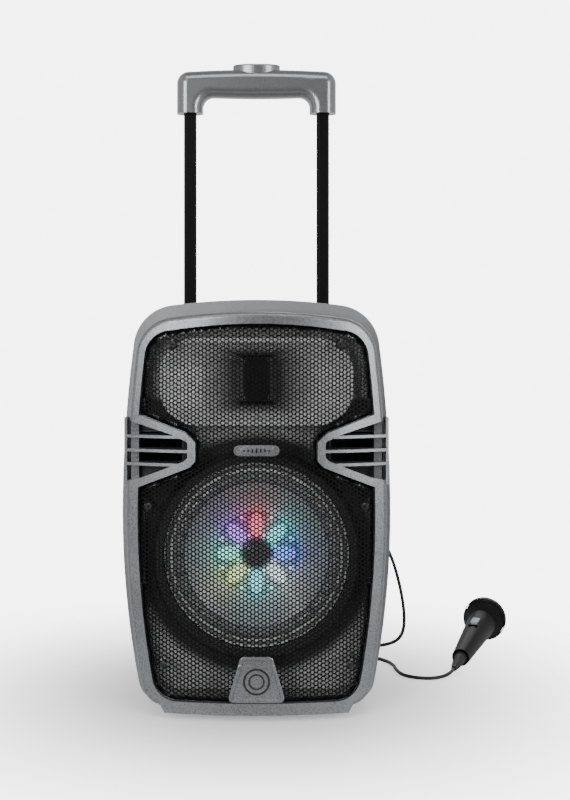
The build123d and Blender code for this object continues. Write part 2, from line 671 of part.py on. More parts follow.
# ---------------------------------------------------------------- trolley handle
def tube_pair(size, corner, wall, low, high):
    """Two upright rectangular tubes at the trolley's spacing."""
    with BuildPart() as tubes:
        with BuildSketch(Plane.XY.offset(low)):
            with Locations((-TUBE_X, TUBE_Y), (TUBE_X, TUBE_Y)):
                RectangleRounded(size[0], size[1], corner)
                RectangleRounded(size[0] - 2 * wall, size[1] - 2 * wall, corner - wall, mode=Mode.SUBTRACT)
        extrude(amount=high - low)
    return tubes.part


with BuildPart() as outer_tubes:
    add(tube_pair(OUTER_TUBE, 4, 1.6, *OUTER_TUBE_ENDS))
    for x in (-TUBE_X, TUBE_X):
        for z in (LATCH_Z, LATCH_Z - TRAVEL):
            add(disc(x, z, 3.3, TUBE_Y + 8, TUBE_Y + 14), mode=Mode.SUBTRACT)
finish(outer_tubes, "outer_tubes")

COLLAR = (23.6, 27.0)
with BuildPart() as tube_collars:
    collar_low, collar_high = OUTER_TUBE_ENDS[1] - 8, OUTER_TUBE_ENDS[1] + 6
    for x in (-TUBE_X, TUBE_X):
        with BuildSketch(Plane.XY.offset(collar_low)):
            with Locations((x, TUBE_Y)):
                RectangleRounded(COLLAR[0], COLLAR[1], 3)
                RectangleRounded(OUTER_TUBE[0] + 0.2, OUTER_TUBE[1] + 0.2, 4, mode=Mode.SUBTRACT)
        extrude(amount=OUTER_TUBE_ENDS[1] - collar_low)
        with BuildSketch(Plane.XY.offset(OUTER_TUBE_ENDS[1])):
            with Locations((x, TUBE_Y)):
                RectangleRounded(COLLAR[0], COLLAR[1], 3)
                RectangleRounded(INNER_TUBE[0] + 0.8, INNER_TUBE[1] + 0.8, 3.2, mode=Mode.SUBTRACT)
        extrude(amount=collar_high - OUTER_TUBE_ENDS[1])
finish(tube_collars, "tube_collars")

SOCKET_TOP = 656.0
with BuildPart() as inner_tubes:
    add(tube_pair(INNER_TUBE, 3, 1.4, INNER_TUBE_BOTTOM, SOCKET_TOP))
    for x in (-TUBE_X, TUBE_X):
        add(disc(x, LATCH_Z, 3 + RUNNING, TUBE_Y + 6, TUBE_Y + 12), mode=Mode.SUBTRACT)
finish(inner_tubes, "inner_tubes")

GRIP_DEPTH = 34.0
GRIP_ROUND = 12.0
BUTTON_TRAVEL = 5.0
BUTTON_TOP = 690.0
BUTTON_SKIRT = 676.0  # lower edge of the button's oval head
BUTTON_OVAL = (27.0, 14.5)
BUTTON_GAP = 0.5
RECESS_FLOOR = BUTTON_SKIRT - BUTTON_TRAVEL - BUTTON_GAP
CROSSBAR_Z = 667.0
with BuildPart() as handle_grip:
    with BuildSketch(facing(TUBE_Y + GRIP_DEPTH / 2)) as grip_face:
        shoulder, arm_end = GRIP_TOP - 3, GRIP_BOTTOM - GRIP_ROUND
        with BuildLine():
            ThreePointArc((-GRIP_HALF, shoulder), (0, GRIP_TOP), (GRIP_HALF, shoulder))
            Polyline((GRIP_HALF, shoulder), (GRIP_HALF, arm_end), (61, arm_end), (61, GRIP_UNDER))
            ThreePointArc((61, GRIP_UNDER), (0, GRIP_UNDER - 1.5), (-61, GRIP_UNDER))
            Polyline((-61, GRIP_UNDER), (-61, arm_end), (-GRIP_HALF, arm_end), (-GRIP_HALF, shoulder))
        make_face()
        fillet(grip_face.vertices().group_by(Axis.Y)[-1], 14)
        fillet(grip_face.vertices().filter_by(lambda corner: abs(corner.Y - GRIP_UNDER) < 1), 12)
    extrude(amount=GRIP_DEPTH)
    fillet(handle_grip.faces().filter_by(Axis.Y).edges(), GRIP_ROUND)
    split(bisect_by=Plane.XY.offset(GRIP_BOTTOM), keep=Keep.TOP)
    with Locations((0, TUBE_Y, (SOCKET_TOP + RECESS_FLOOR) / 2)):
        Box(170, 15, RECESS_FLOOR - SOCKET_TOP, mode=Mode.SUBTRACT)
    with BuildSketch(Plane.XY.offset(RECESS_FLOOR)):
        with Locations((0, TUBE_Y)):
            Ellipse(BUTTON_OVAL[0] + BUTTON_GAP, BUTTON_OVAL[1] + BUTTON_GAP)
    extrude(amount=GRIP_TOP - RECESS_FLOOR + 1, mode=Mode.SUBTRACT)
    with BuildSketch(Plane.XY.offset(GRIP_BOTTOM - 1)):
        with Locations((-TUBE_X, TUBE_Y), (TUBE_X, TUBE_Y)):
            RectangleRounded(INNER_TUBE[0] + 0.2, INNER_TUBE[1] + 0.2, 3)
    extrude(amount=SOCKET_TOP - GRIP_BOTTOM + 1, mode=Mode.SUBTRACT)
finish(handle_grip, "handle_grip")

with BuildPart() as release_button:
    with BuildSketch(Plane.XY.offset(BUTTON_SKIRT)):
        with Locations((0, TUBE_Y)):
            Ellipse(*BUTTON_OVAL)
    extrude(amount=BUTTON_TOP - BUTTON_SKIRT)
    fillet(release_button.faces().sort_by(Axis.Z)[-1].edges(), 2)
    with Locations((0, TUBE_Y, (CROSSBAR_Z + 2.5 + BUTTON_SKIRT) / 2)):
        Box(40, 13, BUTTON_SKIRT - CROSSBAR_Z - 2.5)
finish(release_button, "release_button")

with BuildPart() as latch_rods:
    with Locations((0, TUBE_Y, CROSSBAR_Z)):
        Box(158, 6, 5)
    for x in (-TUBE_X, TUBE_X):
        rod_bottom = LATCH_Z + 10
        with Locations((x, TUBE_Y, (rod_bottom + CROSSBAR_Z) / 2)):
            Cylinder(1.5, CROSSBAR_Z - rod_bottom)
finish(latch_rods, "latch_rods")

with BuildPart() as release_spring:
    with BuildSketch(Plane.XY.offset(SOCKET_TOP)):
        with Locations((0, TUBE_Y)):
            Circle(4)
            Circle(3.1, mode=Mode.SUBTRACT)
    extrude(amount=CROSSBAR_Z - 2.5 - SOCKET_TOP)
finish(release_spring, "release_spring")

with BuildPart() as latch_pins:
    for x in (-TUBE_X, TUBE_X):
        add(disc(x, LATCH_Z, 3, TUBE_Y + 3, TUBE_Y + 10.2))
finish(latch_pins, "latch_pins")

# ---------------------------------------------------------------- wheels


def across_axle(side, x):
    """A plane square to the wheels' axis, at x on one side, that faces outward."""
    return Plane(origin=(side * x, WHEEL_Y, WHEEL_R), z_dir=(side, 0, 0))


for side, name in ((-1, "left"), (1, "right")):
    hub_plane = across_axle(side, WHEEL_X)
    with BuildPart() as wheel_tyre:
        with BuildSketch(hub_plane):
            Circle(WHEEL_R)
            Circle(22.1, mode=Mode.SUBTRACT)
        extrude(amount=WHEEL_WIDE / 2, both=True)
        fillet(wheel_tyre.edges().filter_by(GeomType.CIRCLE).filter_by(lambda edge: edge.radius > 25), 3)
    finish(wheel_tyre, f"wheel_tyre_{name}")
    with BuildPart() as wheel_hub:
        with BuildSketch(hub_plane):
            Circle(22)
            Circle(AXLE_R + RUNNING, mode=Mode.SUBTRACT)
            with PolarLocations(13.5, 6):
                Circle(4, mode=Mode.SUBTRACT)
        extrude(amount=WHEEL_WIDE / 2, both=True)
    finish(wheel_hub, f"wheel_hub_{name}")

with BuildPart() as wheel_axles:
    for side in (-1, 1):
        with BuildSketch(across_axle(side, 72)):
            Circle(AXLE_R)
        extrude(amount=36)
        with BuildSketch(across_axle(side, WHEEL_X + WHEEL_WIDE / 2 + 0.5)):
            Circle(8)
        extrude(amount=3)
finish(wheel_axles, "wheel_axles")

# ---------------------------------------------------------------- microphone
turn, tilt = radians(MIC_TURN), radians(MIC_TILT)
MIC_AXIS = Vector(cos(turn) * cos(tilt), sin(turn) * cos(tilt), sin(tilt))
MIC_SIDE = Vector(sin(turn), -cos(turn), 0)
MIC_UP = MIC_SIDE.cross(MIC_AXIS)
MIC_SECTION = Plane(origin=MIC_TAIL, x_dir=MIC_SIDE, z_dir=MIC_UP)
RELIEF_LONG = 36.0
NECK = 155.0
HEAD_CENTRE = 178.0
HEAD_R = 25.0


def mic_turned(profile):
    """A solid turned about the microphone's axis, from (distance from its tail, radius) corners."""
    with BuildPart() as piece:
        with BuildSketch(MIC_SECTION):
            with BuildLine():
                Polyline(*[(radius, along) for along, radius in profile], close=True)
            make_face()
        revolve(axis=Axis(MIC_TAIL, MIC_AXIS))
    return piece.part


RELIEF_SPIGOT = RELIEF_LONG + 8.0
with BuildPart() as mic_strain_relief:
    sleeve = [(0, 0), (0, 3.2), (RELIEF_LONG, 7.2), (RELIEF_LONG, 6.9)]
    add(mic_turned(sleeve + [(RELIEF_SPIGOT, 6.9), (RELIEF_SPIGOT, 0)]))
finish(mic_strain_relief, "mic_strain_relief")

SWITCH_ALONG = 118.0
SWITCH_SHIFT = 2.75
SWITCH = (14.6, 8.0)
SWITCH_FLOOR = 11.9  # height of the switch's pocket over the microphone's axis
BODY_OUTSIDE = [(RELIEF_LONG, 7), (RELIEF_LONG, 10), (151, 16.8), (NECK, 17)]
BODY_INSIDE = [(NECK, 12), (48, 6.5), (48, 7)]
pocket = MIC_TAIL + MIC_AXIS * SWITCH_ALONG + MIC_UP * SWITCH_FLOOR
with BuildPart() as mic_body:
    add(mic_turned(BODY_OUTSIDE + BODY_INSIDE))
    with BuildSketch(Plane(origin=pocket, x_dir=MIC_AXIS, z_dir=MIC_UP)):
        Rectangle(SWITCH[0] + 6, SWITCH[1] + 0.6)
    extrude(amount=10, mode=Mode.SUBTRACT)
finish(mic_body, "mic_body")

with BuildPart() as mic_switch:
    switch_place = MIC_TAIL + MIC_AXIS * (SWITCH_ALONG + SWITCH_SHIFT) + MIC_UP * (SWITCH_FLOOR + 0.1)
    with BuildSketch(Plane(origin=switch_place, x_dir=MIC_AXIS, z_dir=MIC_UP)):
        Rectangle(*SWITCH)
    extrude(amount=4.4)
finish(mic_switch, "mic_switch")

with BuildPart() as mic_head:
    with BuildSketch(MIC_SECTION):
        with BuildLine():
            Polyline((15.7, NECK), (17.1, NECK), (24.4, 171), (HEAD_R, HEAD_CENTRE))
            RadiusArc((HEAD_R, HEAD_CENTRE), (0, HEAD_CENTRE + HEAD_R), -HEAD_R)
            Line((0, HEAD_CENTRE + HEAD_R), (0, HEAD_CENTRE + HEAD_R - 1.4))
            RadiusArc((0, HEAD_CENTRE + HEAD_R - 1.4), (HEAD_R - 1.4, HEAD_CENTRE), HEAD_R - 1.4)
            Polyline((HEAD_R - 1.4, HEAD_CENTRE), (23, 171), (15.7, NECK))
        make_face()
    revolve(axis=Axis(MIC_TAIL, MIC_AXIS))
finish(mic_head, "mic_head")

with BuildPart() as mic_ring:
    add(mic_turned([(172, 25.1), (172, 26), (179, 26), (179, 25.1)]))
finish(mic_ring, "mic_ring")

CAPSULE_MOUNT = [(NECK, 0), (NECK, 13.5), (NECK + 4, 13.5)]
CAPSULE_BODY = [(NECK + 6, 10), (NECK + 22, 10), (NECK + 22, 0)]
with BuildPart() as mic_capsule:
    add(mic_turned(CAPSULE_MOUNT + CAPSULE_BODY))
finish(mic_capsule, "mic_capsule")

# ---------------------------------------------------------------- microphone cord
PLUG_X = MIC_JACK_X[1]
PLUG_SEAT = PANEL_Y + 2.1
PLUG_LONG = 43.4  # its sleeve, outside the jack
PLUG_TIP = [(-28, 0), (-26, 2.6), (-24, 3.17), (0, 3.17)]
PLUG_SLEEVE = [(0, 6.5), (26, 5.4), (28, 4.4), (PLUG_LONG, 2.8), (PLUG_LONG, 0)]
with BuildPart() as jack_plug:
    add(turned([(PLUG_SEAT + y, radius) for y, radius in PLUG_TIP + PLUG_SLEEVE], PLUG_X, JACK_Z))
finish(jack_plug, "jack_plug")

CORD_EXIT = (PLUG_X, PLUG_SEAT + PLUG_LONG, JACK_Z)
COIL_X, COIL_Y = COIL_AT
COIL_OUTER = COIL_MID_R + COIL_TURNS_WIDE * CORD_R
COIL_INNER = COIL_MID_R - COIL_TURNS_WIDE * CORD_R
DROP_ROUTE = [
    CORD_EXIT,
    (38, 184, 235),
    (56, 200, 224),
    (92, 207, 200),
    (133, 204, 162),
    (161, 196, 118),
    (174, 190, 73),
    (179, 187, 34),
    (174, 189, 12),
    (156, 193, 3),
    (130, 195, 2),
    (104, 194, 2),
    (COIL_X + 16, COIL_Y + COIL_MID_R, 2),
]
RETURN_ROUTE = [
    (COIL_X + 16, COIL_Y - COIL_MID_R, 2),
    (100, 150, 2),
    (124, 146, 2),
    (145, 131, 2),
    (157, 107, 2),
    (158, 81, 2),
    (163, 57, 2),
    (179, 44, 2),
    (200, 43, 2),
    tuple(MIC_TAIL - MIC_AXIS * 16),
    tuple(MIC_TAIL),
]


def cord_tube(route):
    """A round cord along straight runs that are joined by the largest tangent arcs they have room for."""
    points = [Vector(point) for point in route]
    radii = []
    for before, here, after in zip(points, points[1:], points[2:]):
        half_turn = radians((here - before).get_angle(after - here)) / 2
        shorter = min((here - before).length, (after - here).length)
        radii.append(0.45 * shorter / tan(half_turn))
    with BuildPart() as tube:
        with BuildLine() as path:
            FilletPolyline(*points, radius=radii)
        with BuildSketch(Plane(origin=path.line @ 0, z_dir=path.line % 0)):
            Circle(CORD_R)
        sweep()
    return tube.part


with BuildPart() as mic_cord:
    add(cord_tube(DROP_ROUTE))
    add(cord_tube(RETURN_ROUTE))
finish(mic_cord, "mic_cord")


def coil_ring(grow, low, high):
    """A flat ring about the coil's axis, its section grown by grow all round."""
    with BuildPart() as ring:
        with BuildSketch(Plane.XY.offset(low)):
            with Locations(COIL_AT):
                Circle(COIL_OUTER + grow)
                Circle(COIL_INNER - grow, mode=Mode.SUBTRACT)
        extrude(amount=high - low)
    return ring.part


COIL_TOP = TIE_THICK + 2 * CORD_R * COIL_LAYERS
with BuildPart() as mic_cord_coil:
    add(coil_ring(0, TIE_THICK, COIL_TOP))
finish(mic_cord_coil, "mic_cord_coil")

with BuildPart() as cord_tie:
    add(coil_ring(TIE_THICK, 0, COIL_TOP + TIE_THICK))
    add(coil_ring(0, TIE_THICK, COIL_TOP), mode=Mode.SUBTRACT)
    with Locations((COIL_X - COIL_MID_R, COIL_Y, COIL_TOP / 2)):
        Box(4 * COIL_TOP, TIE_WIDE, 4 * COIL_TOP, mode=Mode.INTERSECT)
finish(cord_tie, "cord_tie")
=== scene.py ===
import json
import math

import bmesh
import bpy
import numpy as np
from mathutils import Matrix, Vector
from mathutils.geometry import delaunay_2d_cdt


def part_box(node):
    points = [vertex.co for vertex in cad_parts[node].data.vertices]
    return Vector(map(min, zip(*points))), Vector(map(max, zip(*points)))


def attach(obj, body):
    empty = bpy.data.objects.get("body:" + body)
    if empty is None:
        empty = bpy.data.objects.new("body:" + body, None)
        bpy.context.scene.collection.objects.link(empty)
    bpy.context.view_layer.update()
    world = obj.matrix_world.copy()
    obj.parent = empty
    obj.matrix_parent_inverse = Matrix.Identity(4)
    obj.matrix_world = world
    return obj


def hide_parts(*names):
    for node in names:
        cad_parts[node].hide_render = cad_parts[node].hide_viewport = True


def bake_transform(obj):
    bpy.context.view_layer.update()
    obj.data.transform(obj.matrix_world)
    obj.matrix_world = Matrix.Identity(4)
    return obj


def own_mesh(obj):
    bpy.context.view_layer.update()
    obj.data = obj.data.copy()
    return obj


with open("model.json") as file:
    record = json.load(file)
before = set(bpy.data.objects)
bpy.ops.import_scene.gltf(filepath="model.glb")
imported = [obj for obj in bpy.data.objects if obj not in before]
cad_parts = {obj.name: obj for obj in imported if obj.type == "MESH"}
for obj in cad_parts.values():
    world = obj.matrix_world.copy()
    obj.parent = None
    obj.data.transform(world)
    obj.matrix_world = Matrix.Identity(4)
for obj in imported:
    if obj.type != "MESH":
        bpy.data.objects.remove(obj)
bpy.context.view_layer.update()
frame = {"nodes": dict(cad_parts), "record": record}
NODES = frame["nodes"]
MM = 0.001

# ---------------------------------------------------------------- camera, floor and light
CAMERA_DISTANCE = 1.5  # from the foremost line of the cabinet
CAMERA_HEIGHT = 0.432
CAMERA_SHIFT = (0.0356, -0.1375)
VIEW_HEIGHT = 0.8  # what the picture's long side covers at that distance
SENSOR = 36.0
SOFT_BOXES = (  # name, place, target, width, height, watts
    ("key_box", (-0.9, -1.7, 0.75), (0, -0.1, 0.3), 0.8, 1.1, 22),
    ("fill_box", (1.2, -1.5, 0.6), (0, -0.1, 0.3), 0.6, 1.1, 15),
    ("top_box", (0.0, -0.9, 1.9), (0, 0, 0.2), 1.4, 0.7, 9),
    ("back_box", (0.6, 1.9, 1.3), (0, 0, 0.3), 1.2, 1.0, 10),
)
GLOWS = (  # what lights the object from each direction
    ((0, 0, 1), 0.12),
    ((1, 0, 0), 0.55),
    ((-1, 0, 0), 0.55),
    ((0, 1, 0), 0.6),
)
DIM_GLOW = 0.1  # added with each of them
BACKDROP_GLOW = 6.0
FLOOR_R = 1.6


def add_camera():
    data = bpy.data.cameras.new("camera")
    data.sensor_width = SENSOR
    data.lens = SENSOR * CAMERA_DISTANCE / VIEW_HEIGHT
    data.shift_x, data.shift_y = CAMERA_SHIFT
    camera = bpy.data.objects.new("camera", data)
    camera.location = (0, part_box("front_frame")[0].y - CAMERA_DISTANCE, CAMERA_HEIGHT)
    camera.rotation_euler = (math.pi / 2, 0, 0)
    bpy.context.scene.collection.objects.link(camera)
    bpy.context.scene.camera = camera


def add_light(name, place, target, width, height, power):
    """A rectangular soft box at a place, turned to a target."""
    data = bpy.data.lights.new(name, "AREA")
    data.shape = "RECTANGLE"
    data.size = width
    data.size_y = height
    data.energy = power
    light = bpy.data.objects.new(name, data)
    light.location = place
    light.rotation_euler = (Vector(target) - Vector(place)).to_track_quat("-Z", "Y").to_euler()
    bpy.context.scene.collection.objects.link(light)


def add_world():
    """White where the camera sees it. What lights the object glows from above, both sides and behind."""
    world = bpy.data.worlds.new("studio")
    world.use_nodes = True
    tree = world.node_tree
    background = tree.nodes["Background"]
    heading = tree.nodes.new("ShaderNodeTexCoord").outputs["Generated"]
    glow = None
    for direction, strength in GLOWS:
        toward = tree.nodes.new("ShaderNodeVectorMath")
        toward.operation = "DOT_PRODUCT"
        toward.inputs[1].default_value = direction
        tree.links.new(heading, toward.inputs[0])
        lobe = tree.nodes.new("ShaderNodeMapRange")
        lobe.interpolation_type = "SMOOTHSTEP"
        lobe.inputs["From Min"].default_value = 0.1
        lobe.inputs["To Max"].default_value = strength
        tree.links.new(toward.outputs["Value"], lobe.inputs["Value"])
        total = tree.nodes.new("ShaderNodeMath")
        total.inputs[1].default_value = DIM_GLOW
        tree.links.new(lobe.outputs["Result"], total.inputs[0])
        if glow:
            tree.links.new(glow, total.inputs[1])
        glow = total.outputs[0]
    seen = tree.nodes.new("ShaderNodeMix")
    tree.links.new(tree.nodes.new("ShaderNodeLightPath").outputs["Is Camera Ray"], seen.inputs["Factor"])
    tree.links.new(glow, seen.inputs["A"])
    seen.inputs["B"].default_value = BACKDROP_GLOW
    tree.links.new(seen.outputs["Result"], background.inputs["Strength"])
    background.inputs["Color"].default_value = (1, 1, 1, 1)
    bpy.context.scene.world = world


def add_floor():
    """A pale floor that fades into the pale surroundings well away from the object."""
    mesh = bpy.data.meshes.new("floor")
    shape = bmesh.new()
    bmesh.ops.create_circle(shape, cap_ends=True, segments=96, radius=FLOOR_R)
    shape.to_mesh(mesh)
    floor = bpy.data.objects.new("floor", mesh)
    floor.location.z = -0.0002
    bpy.context.scene.collection.objects.link(floor)
    material = bpy.data.materials.new("pale_floor")
    material.use_nodes = True
    tree = material.node_tree
    shader = tree.nodes["Principled BSDF"]
    shader.inputs["Base Color"].default_value = (0.86, 0.86, 0.855, 1)
    shader.inputs["Roughness"].default_value = 0.6
    shader.inputs["Specular IOR Level"].default_value = 0.15
    place = tree.nodes.new("ShaderNodeTexCoord")
    far = tree.nodes.new("ShaderNodeVectorMath")
    far.operation = "LENGTH"
    tree.links.new(place.outputs["Object"], far.inputs[0])
    fade = tree.nodes.new("ShaderNodeMapRange")
    fade.interpolation_type = "SMOOTHSTEP"
    fade.inputs["From Min"].default_value = 0.1
    fade.inputs["From Max"].default_value = 0.55
    fade.inputs["To Min"].default_value = 0.06
    tree.links.new(far.outputs["Value"], fade.inputs["Value"])
    clear = tree.nodes.new("ShaderNodeBsdfTransparent")
    mix = tree.nodes.new("ShaderNodeMixShader")
    tree.links.new(fade.outputs["Result"], mix.inputs["Fac"])
    tree.links.new(shader.outputs["BSDF"], mix.inputs[1])
    tree.links.new(clear.outputs["BSDF"], mix.inputs[2])
    tree.links.new(mix.outputs["Shader"], tree.nodes["Material Output"].inputs["Surface"])
    mesh.materials.append(material)


add_camera()
add_world()
add_floor()
for soft_box in SOFT_BOXES:
    add_light(*soft_box)

# ---------------------------------------------------------------- the microphone's cord
CORD_D = 4 * MM
MIC_TURN = math.radians(70)
MIC_TILT = math.radians(6.75)
MIC_AXIS = Vector(
    (math.cos(MIC_TURN) * math.cos(MIC_TILT), math.sin(MIC_TURN) * math.cos(MIC_TILT), math.sin(MIC_TILT))
)
MIC_TAIL = Vector((222, 70, 5.95)) * MM
COIL_CENTRE = Vector((62, 172, 0)) * MM
COIL_STATIONS = (  # the radius and height of each turn
    (26, 3), (22, 3), (18, 3), (18, 7), (18, 11), (22, 11), (22, 7), (26, 7), (26, 11),
)
COIL_TURNS = 8.5
COIL_STEPS = 16  # control points to a turn
DROP_ROUTE = (  # from the plug to the coil
    (36, 166, 238), (38, 184, 235), (56, 200, 224), (92, 207, 200), (133, 204, 162),
    (161, 196, 118), (174, 190, 73), (179, 187, 34), (174, 189, 12), (156, 193, 3),
    (130, 195, 2), (104, 195, 2), (82, 197, 2.3),
)
RETURN_ROUTE = (  # from the coil to the microphone's tail
    (82, 147, 8.5), (100, 149, 4), (124, 146, 2), (145, 131, 2), (157, 107, 2), (158, 81, 2),
    (163, 57, 2), (179, 44, 2), (200, 43, 2),
)


def coil_points():
    """Control points of the coil: each turn keeps to its place in the bundle, then shifts to the next one."""
    points = []
    swell = 1 / math.cos(math.pi / COIL_STEPS)  # the spline runs inside its control points
    for step in range(int(COIL_TURNS * COIL_STEPS) + 1):
        turn, part = divmod(step / COIL_STEPS, 1)
        here = COIL_STATIONS[int(turn)]
        after = COIL_STATIONS[min(int(turn) + 1, len(COIL_STATIONS) - 1)]
        shift = max(0.0, (part - 0.7) / 0.3)
        radius = here[0] + (after[0] - here[0]) * shift + 0.2 * math.sin(1.7 * step)
        height = here[1] + (after[1] - here[1]) * shift
        angle = math.pi / 2 + 2 * math.pi * step / COIL_STEPS
        spoke = Vector((math.cos(angle), math.sin(angle), 0)) * radius * swell
        points.append(COIL_CENTRE + (spoke + Vector((0, 0, height))) * MM)
    return points


def add_cord():
    points = [Vector(place) * MM for place in DROP_ROUTE]
    points += coil_points()
    points += [Vector(place) * MM for place in RETURN_ROUTE]
    points += [MIC_TAIL - MIC_AXIS * 16 * MM, MIC_TAIL]
    data = bpy.data.curves.new("mic_cord_line", "CURVE")
    data.dimensions = "3D"
    data.resolution_u = 8
    data.bevel_depth = 1.0
    data.bevel_resolution = 5
    data.use_fill_caps = True
    spline = data.splines.new("NURBS")
    spline.points.add(len(points) - 1)
    for control, place in zip(spline.points, points):
        control.co = (*place, 1)
        control.radius = CORD_D / 2  # of the bevel's unit depth
    spline.order_u = 3
    spline.use_endpoint_u = True
    cord = bpy.data.objects.new("mic_cord_line", data)
    bpy.context.scene.collection.objects.link(cord)
    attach(cord, "cabinet")
    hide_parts("mic_cord", "mic_cord_coil")
    return cord


cord = add_cord()

# ---------------------------------------------------------------- finishes


def shader_of(material):
    return material.node_tree.nodes["Principled BSDF"]


def new_material(name, roughness, metallic=0.0, specular=0.5, coat=0.0, coat_roughness=0.1):
    material = bpy.data.materials.new(name)
    material.use_nodes = True
    shader = shader_of(material)
    shader.inputs["Roughness"].default_value = roughness
    shader.inputs["Metallic"].default_value = metallic
    shader.inputs["Specular IOR Level"].default_value = specular
    shader.inputs["Coat Weight"].default_value = coat
    shader.inputs["Coat Roughness"].default_value = coat_roughness
    return material, material.node_tree, shader


def pattern(tree, kind, scale, detail=2.0, place=None):
    """A noise or cell pattern over the object's own coordinates."""
    if place is None:
        place = tree.nodes.new("ShaderNodeTexCoord").outputs["Object"]
    node = tree.nodes.new("ShaderNodeTexNoise" if kind == "noise" else "ShaderNodeTexVoronoi")
    node.inputs["Scale"].default_value = scale
    node.inputs["Detail"].default_value = detail
    tree.links.new(place, node.inputs["Vector"])
    return node


def blend_colors(tree, factor, first, second):
    """Mixes two colours, each a plain colour or another node's output."""
    mix = tree.nodes.new("ShaderNodeMix")
    mix.data_type = "RGBA"
    tree.links.new(factor, mix.inputs[0])
    for socket, color in ((mix.inputs[6], first), (mix.inputs[7], second)):
        if isinstance(color, tuple):
            socket.default_value = (*color, 1)
        else:
            tree.links.new(color, socket)
    return mix.outputs[2]


def remap(tree, value, low, high, from_low=0.3, from_high=0.7):
    node = tree.nodes.new("ShaderNodeMapRange")
    node.inputs["From Min"].default_value = from_low
    node.inputs["From Max"].default_value = from_high
    node.inputs["To Min"].default_value = low
    node.inputs["To Max"].default_value = high
    tree.links.new(value, node.inputs["Value"])
    return node.outputs["Result"]


def relief(tree, shader, height, strength, depth):
    bump = tree.nodes.new("ShaderNodeBump")
    bump.inputs["Strength"].default_value = strength
    bump.inputs["Distance"].default_value = depth
    tree.links.new(height, bump.inputs["Height"])
    tree.links.new(bump.outputs["Normal"], shader.inputs["Normal"])


def moulded(name, dark, light, roughness, specular=0.4, grain=1600.0, strength=0.25, depth=0.06 * MM, **more):
    """A moulded or coated surface: a broad mottle, a fine grain in relief, and uneven gloss."""
    material, tree, shader = new_material(name, roughness, specular=specular, **more)
    mottle = pattern(tree, "noise", 14.0, 4.0)
    fine = pattern(tree, "noise", grain, 3.0)
    color = blend_colors(tree, remap(tree, mottle.outputs["Fac"], 0, 1), dark, light)
    tree.links.new(color, shader.inputs["Base Color"])
    gloss = remap(tree, fine.outputs["Fac"], roughness - 0.07, roughness + 0.07)
    tree.links.new(gloss, shader.inputs["Roughness"])
    relief(tree, shader, fine.outputs["Fac"], strength, depth)
    return material


def metallic_paint(name, dark, light, roughness, flake, orange_peel, coat=0.0, bright_share=1.0):
    """Silver paint: metal flakes, a share of them bright, under a slightly rippled surface."""
    material, tree, shader = new_material(name, roughness, metallic=0.72, specular=0.4, coat=coat)
    flakes = pattern(tree, "cells", flake)
    shade = tree.nodes.new("ShaderNodeSeparateColor")
    tree.links.new(flakes.outputs["Color"], shade.inputs["Color"])
    mottle = pattern(tree, "noise", 22.0, 4.0)
    broad = blend_colors(tree, remap(tree, mottle.outputs["Fac"], 0, 1), dark, light)
    brightness = remap(tree, shade.outputs["Red"], 0, 0.3, 1 - bright_share, 1)
    sparkle = blend_colors(tree, brightness, broad, (0.75, 0.77, 0.8))
    tree.links.new(sparkle, shader.inputs["Base Color"])
    gloss = remap(tree, shade.outputs["Green"], roughness - 0.09, roughness + 0.09, 0, 1)
    tree.links.new(gloss, shader.inputs["Roughness"])
    ripple = pattern(tree, "noise", orange_peel, 2.0)
    relief(tree, shader, ripple.outputs["Fac"], 0.3, 0.12 * MM)
    return material


def brushed_metal(name, dark, light, roughness):
    """Drawn or brushed metal: fine scratches that run one way."""
    material, tree, shader = new_material(name, roughness, metallic=1.0)
    stretch = tree.nodes.new("ShaderNodeMapping")
    stretch.inputs["Scale"].default_value = (4000.0, 90.0, 4000.0)
    tree.links.new(tree.nodes.new("ShaderNodeTexCoord").outputs["Object"], stretch.inputs["Vector"])
    lines = pattern(tree, "noise", 1.0, 3.0, stretch.outputs["Vector"])
    color = blend_colors(tree, remap(tree, lines.outputs["Fac"], 0, 1), dark, light)
    tree.links.new(color, shader.inputs["Base Color"])
    gloss = remap(tree, lines.outputs["Fac"], roughness - 0.08, roughness + 0.1)
    tree.links.new(gloss, shader.inputs["Roughness"])
    relief(tree, shader, lines.outputs["Fac"], 0.15, 0.03 * MM)
    return material


def woven(name, dark, light, pitch):
    """Cloth: two crossed sets of threads."""
    material, tree, shader = new_material(name, 0.85, specular=0.15)
    place = tree.nodes.new("ShaderNodeTexCoord").outputs["Object"]
    heights = []
    for direction in ("X", "Z"):
        threads = tree.nodes.new("ShaderNodeTexWave")
        threads.bands_direction = direction
        threads.inputs["Scale"].default_value = 0.314 / pitch
        threads.inputs["Distortion"].default_value = 0.6
        tree.links.new(place, threads.inputs["Vector"])
        heights.append(threads.outputs["Fac"])
    over = tree.nodes.new("ShaderNodeMath")
    over.operation = "MAXIMUM"
    tree.links.new(heights[0], over.inputs[0])
    tree.links.new(heights[1], over.inputs[1])
    tree.links.new(blend_colors(tree, over.outputs[0], dark, light), shader.inputs["Base Color"])
    relief(tree, shader, over.outputs[0], 0.5, 0.2 * MM)
    return material


# ---------------------------------------------------------------- the woofer's light
WOOFER_Z = 161.0
LAMP_COLORS = (  # from the right, counter-clockwise as seen from the front
    (0.14, 0.28, 1.0), (0.16, 0.90, 0.92), (1.0, 0.14, 0.20), (0.45, 0.20, 1.0),
    (0.25, 0.92, 0.78), (0.72, 0.90, 0.38), (0.25, 0.90, 1.0), (0.82, 0.93, 1.0),
)


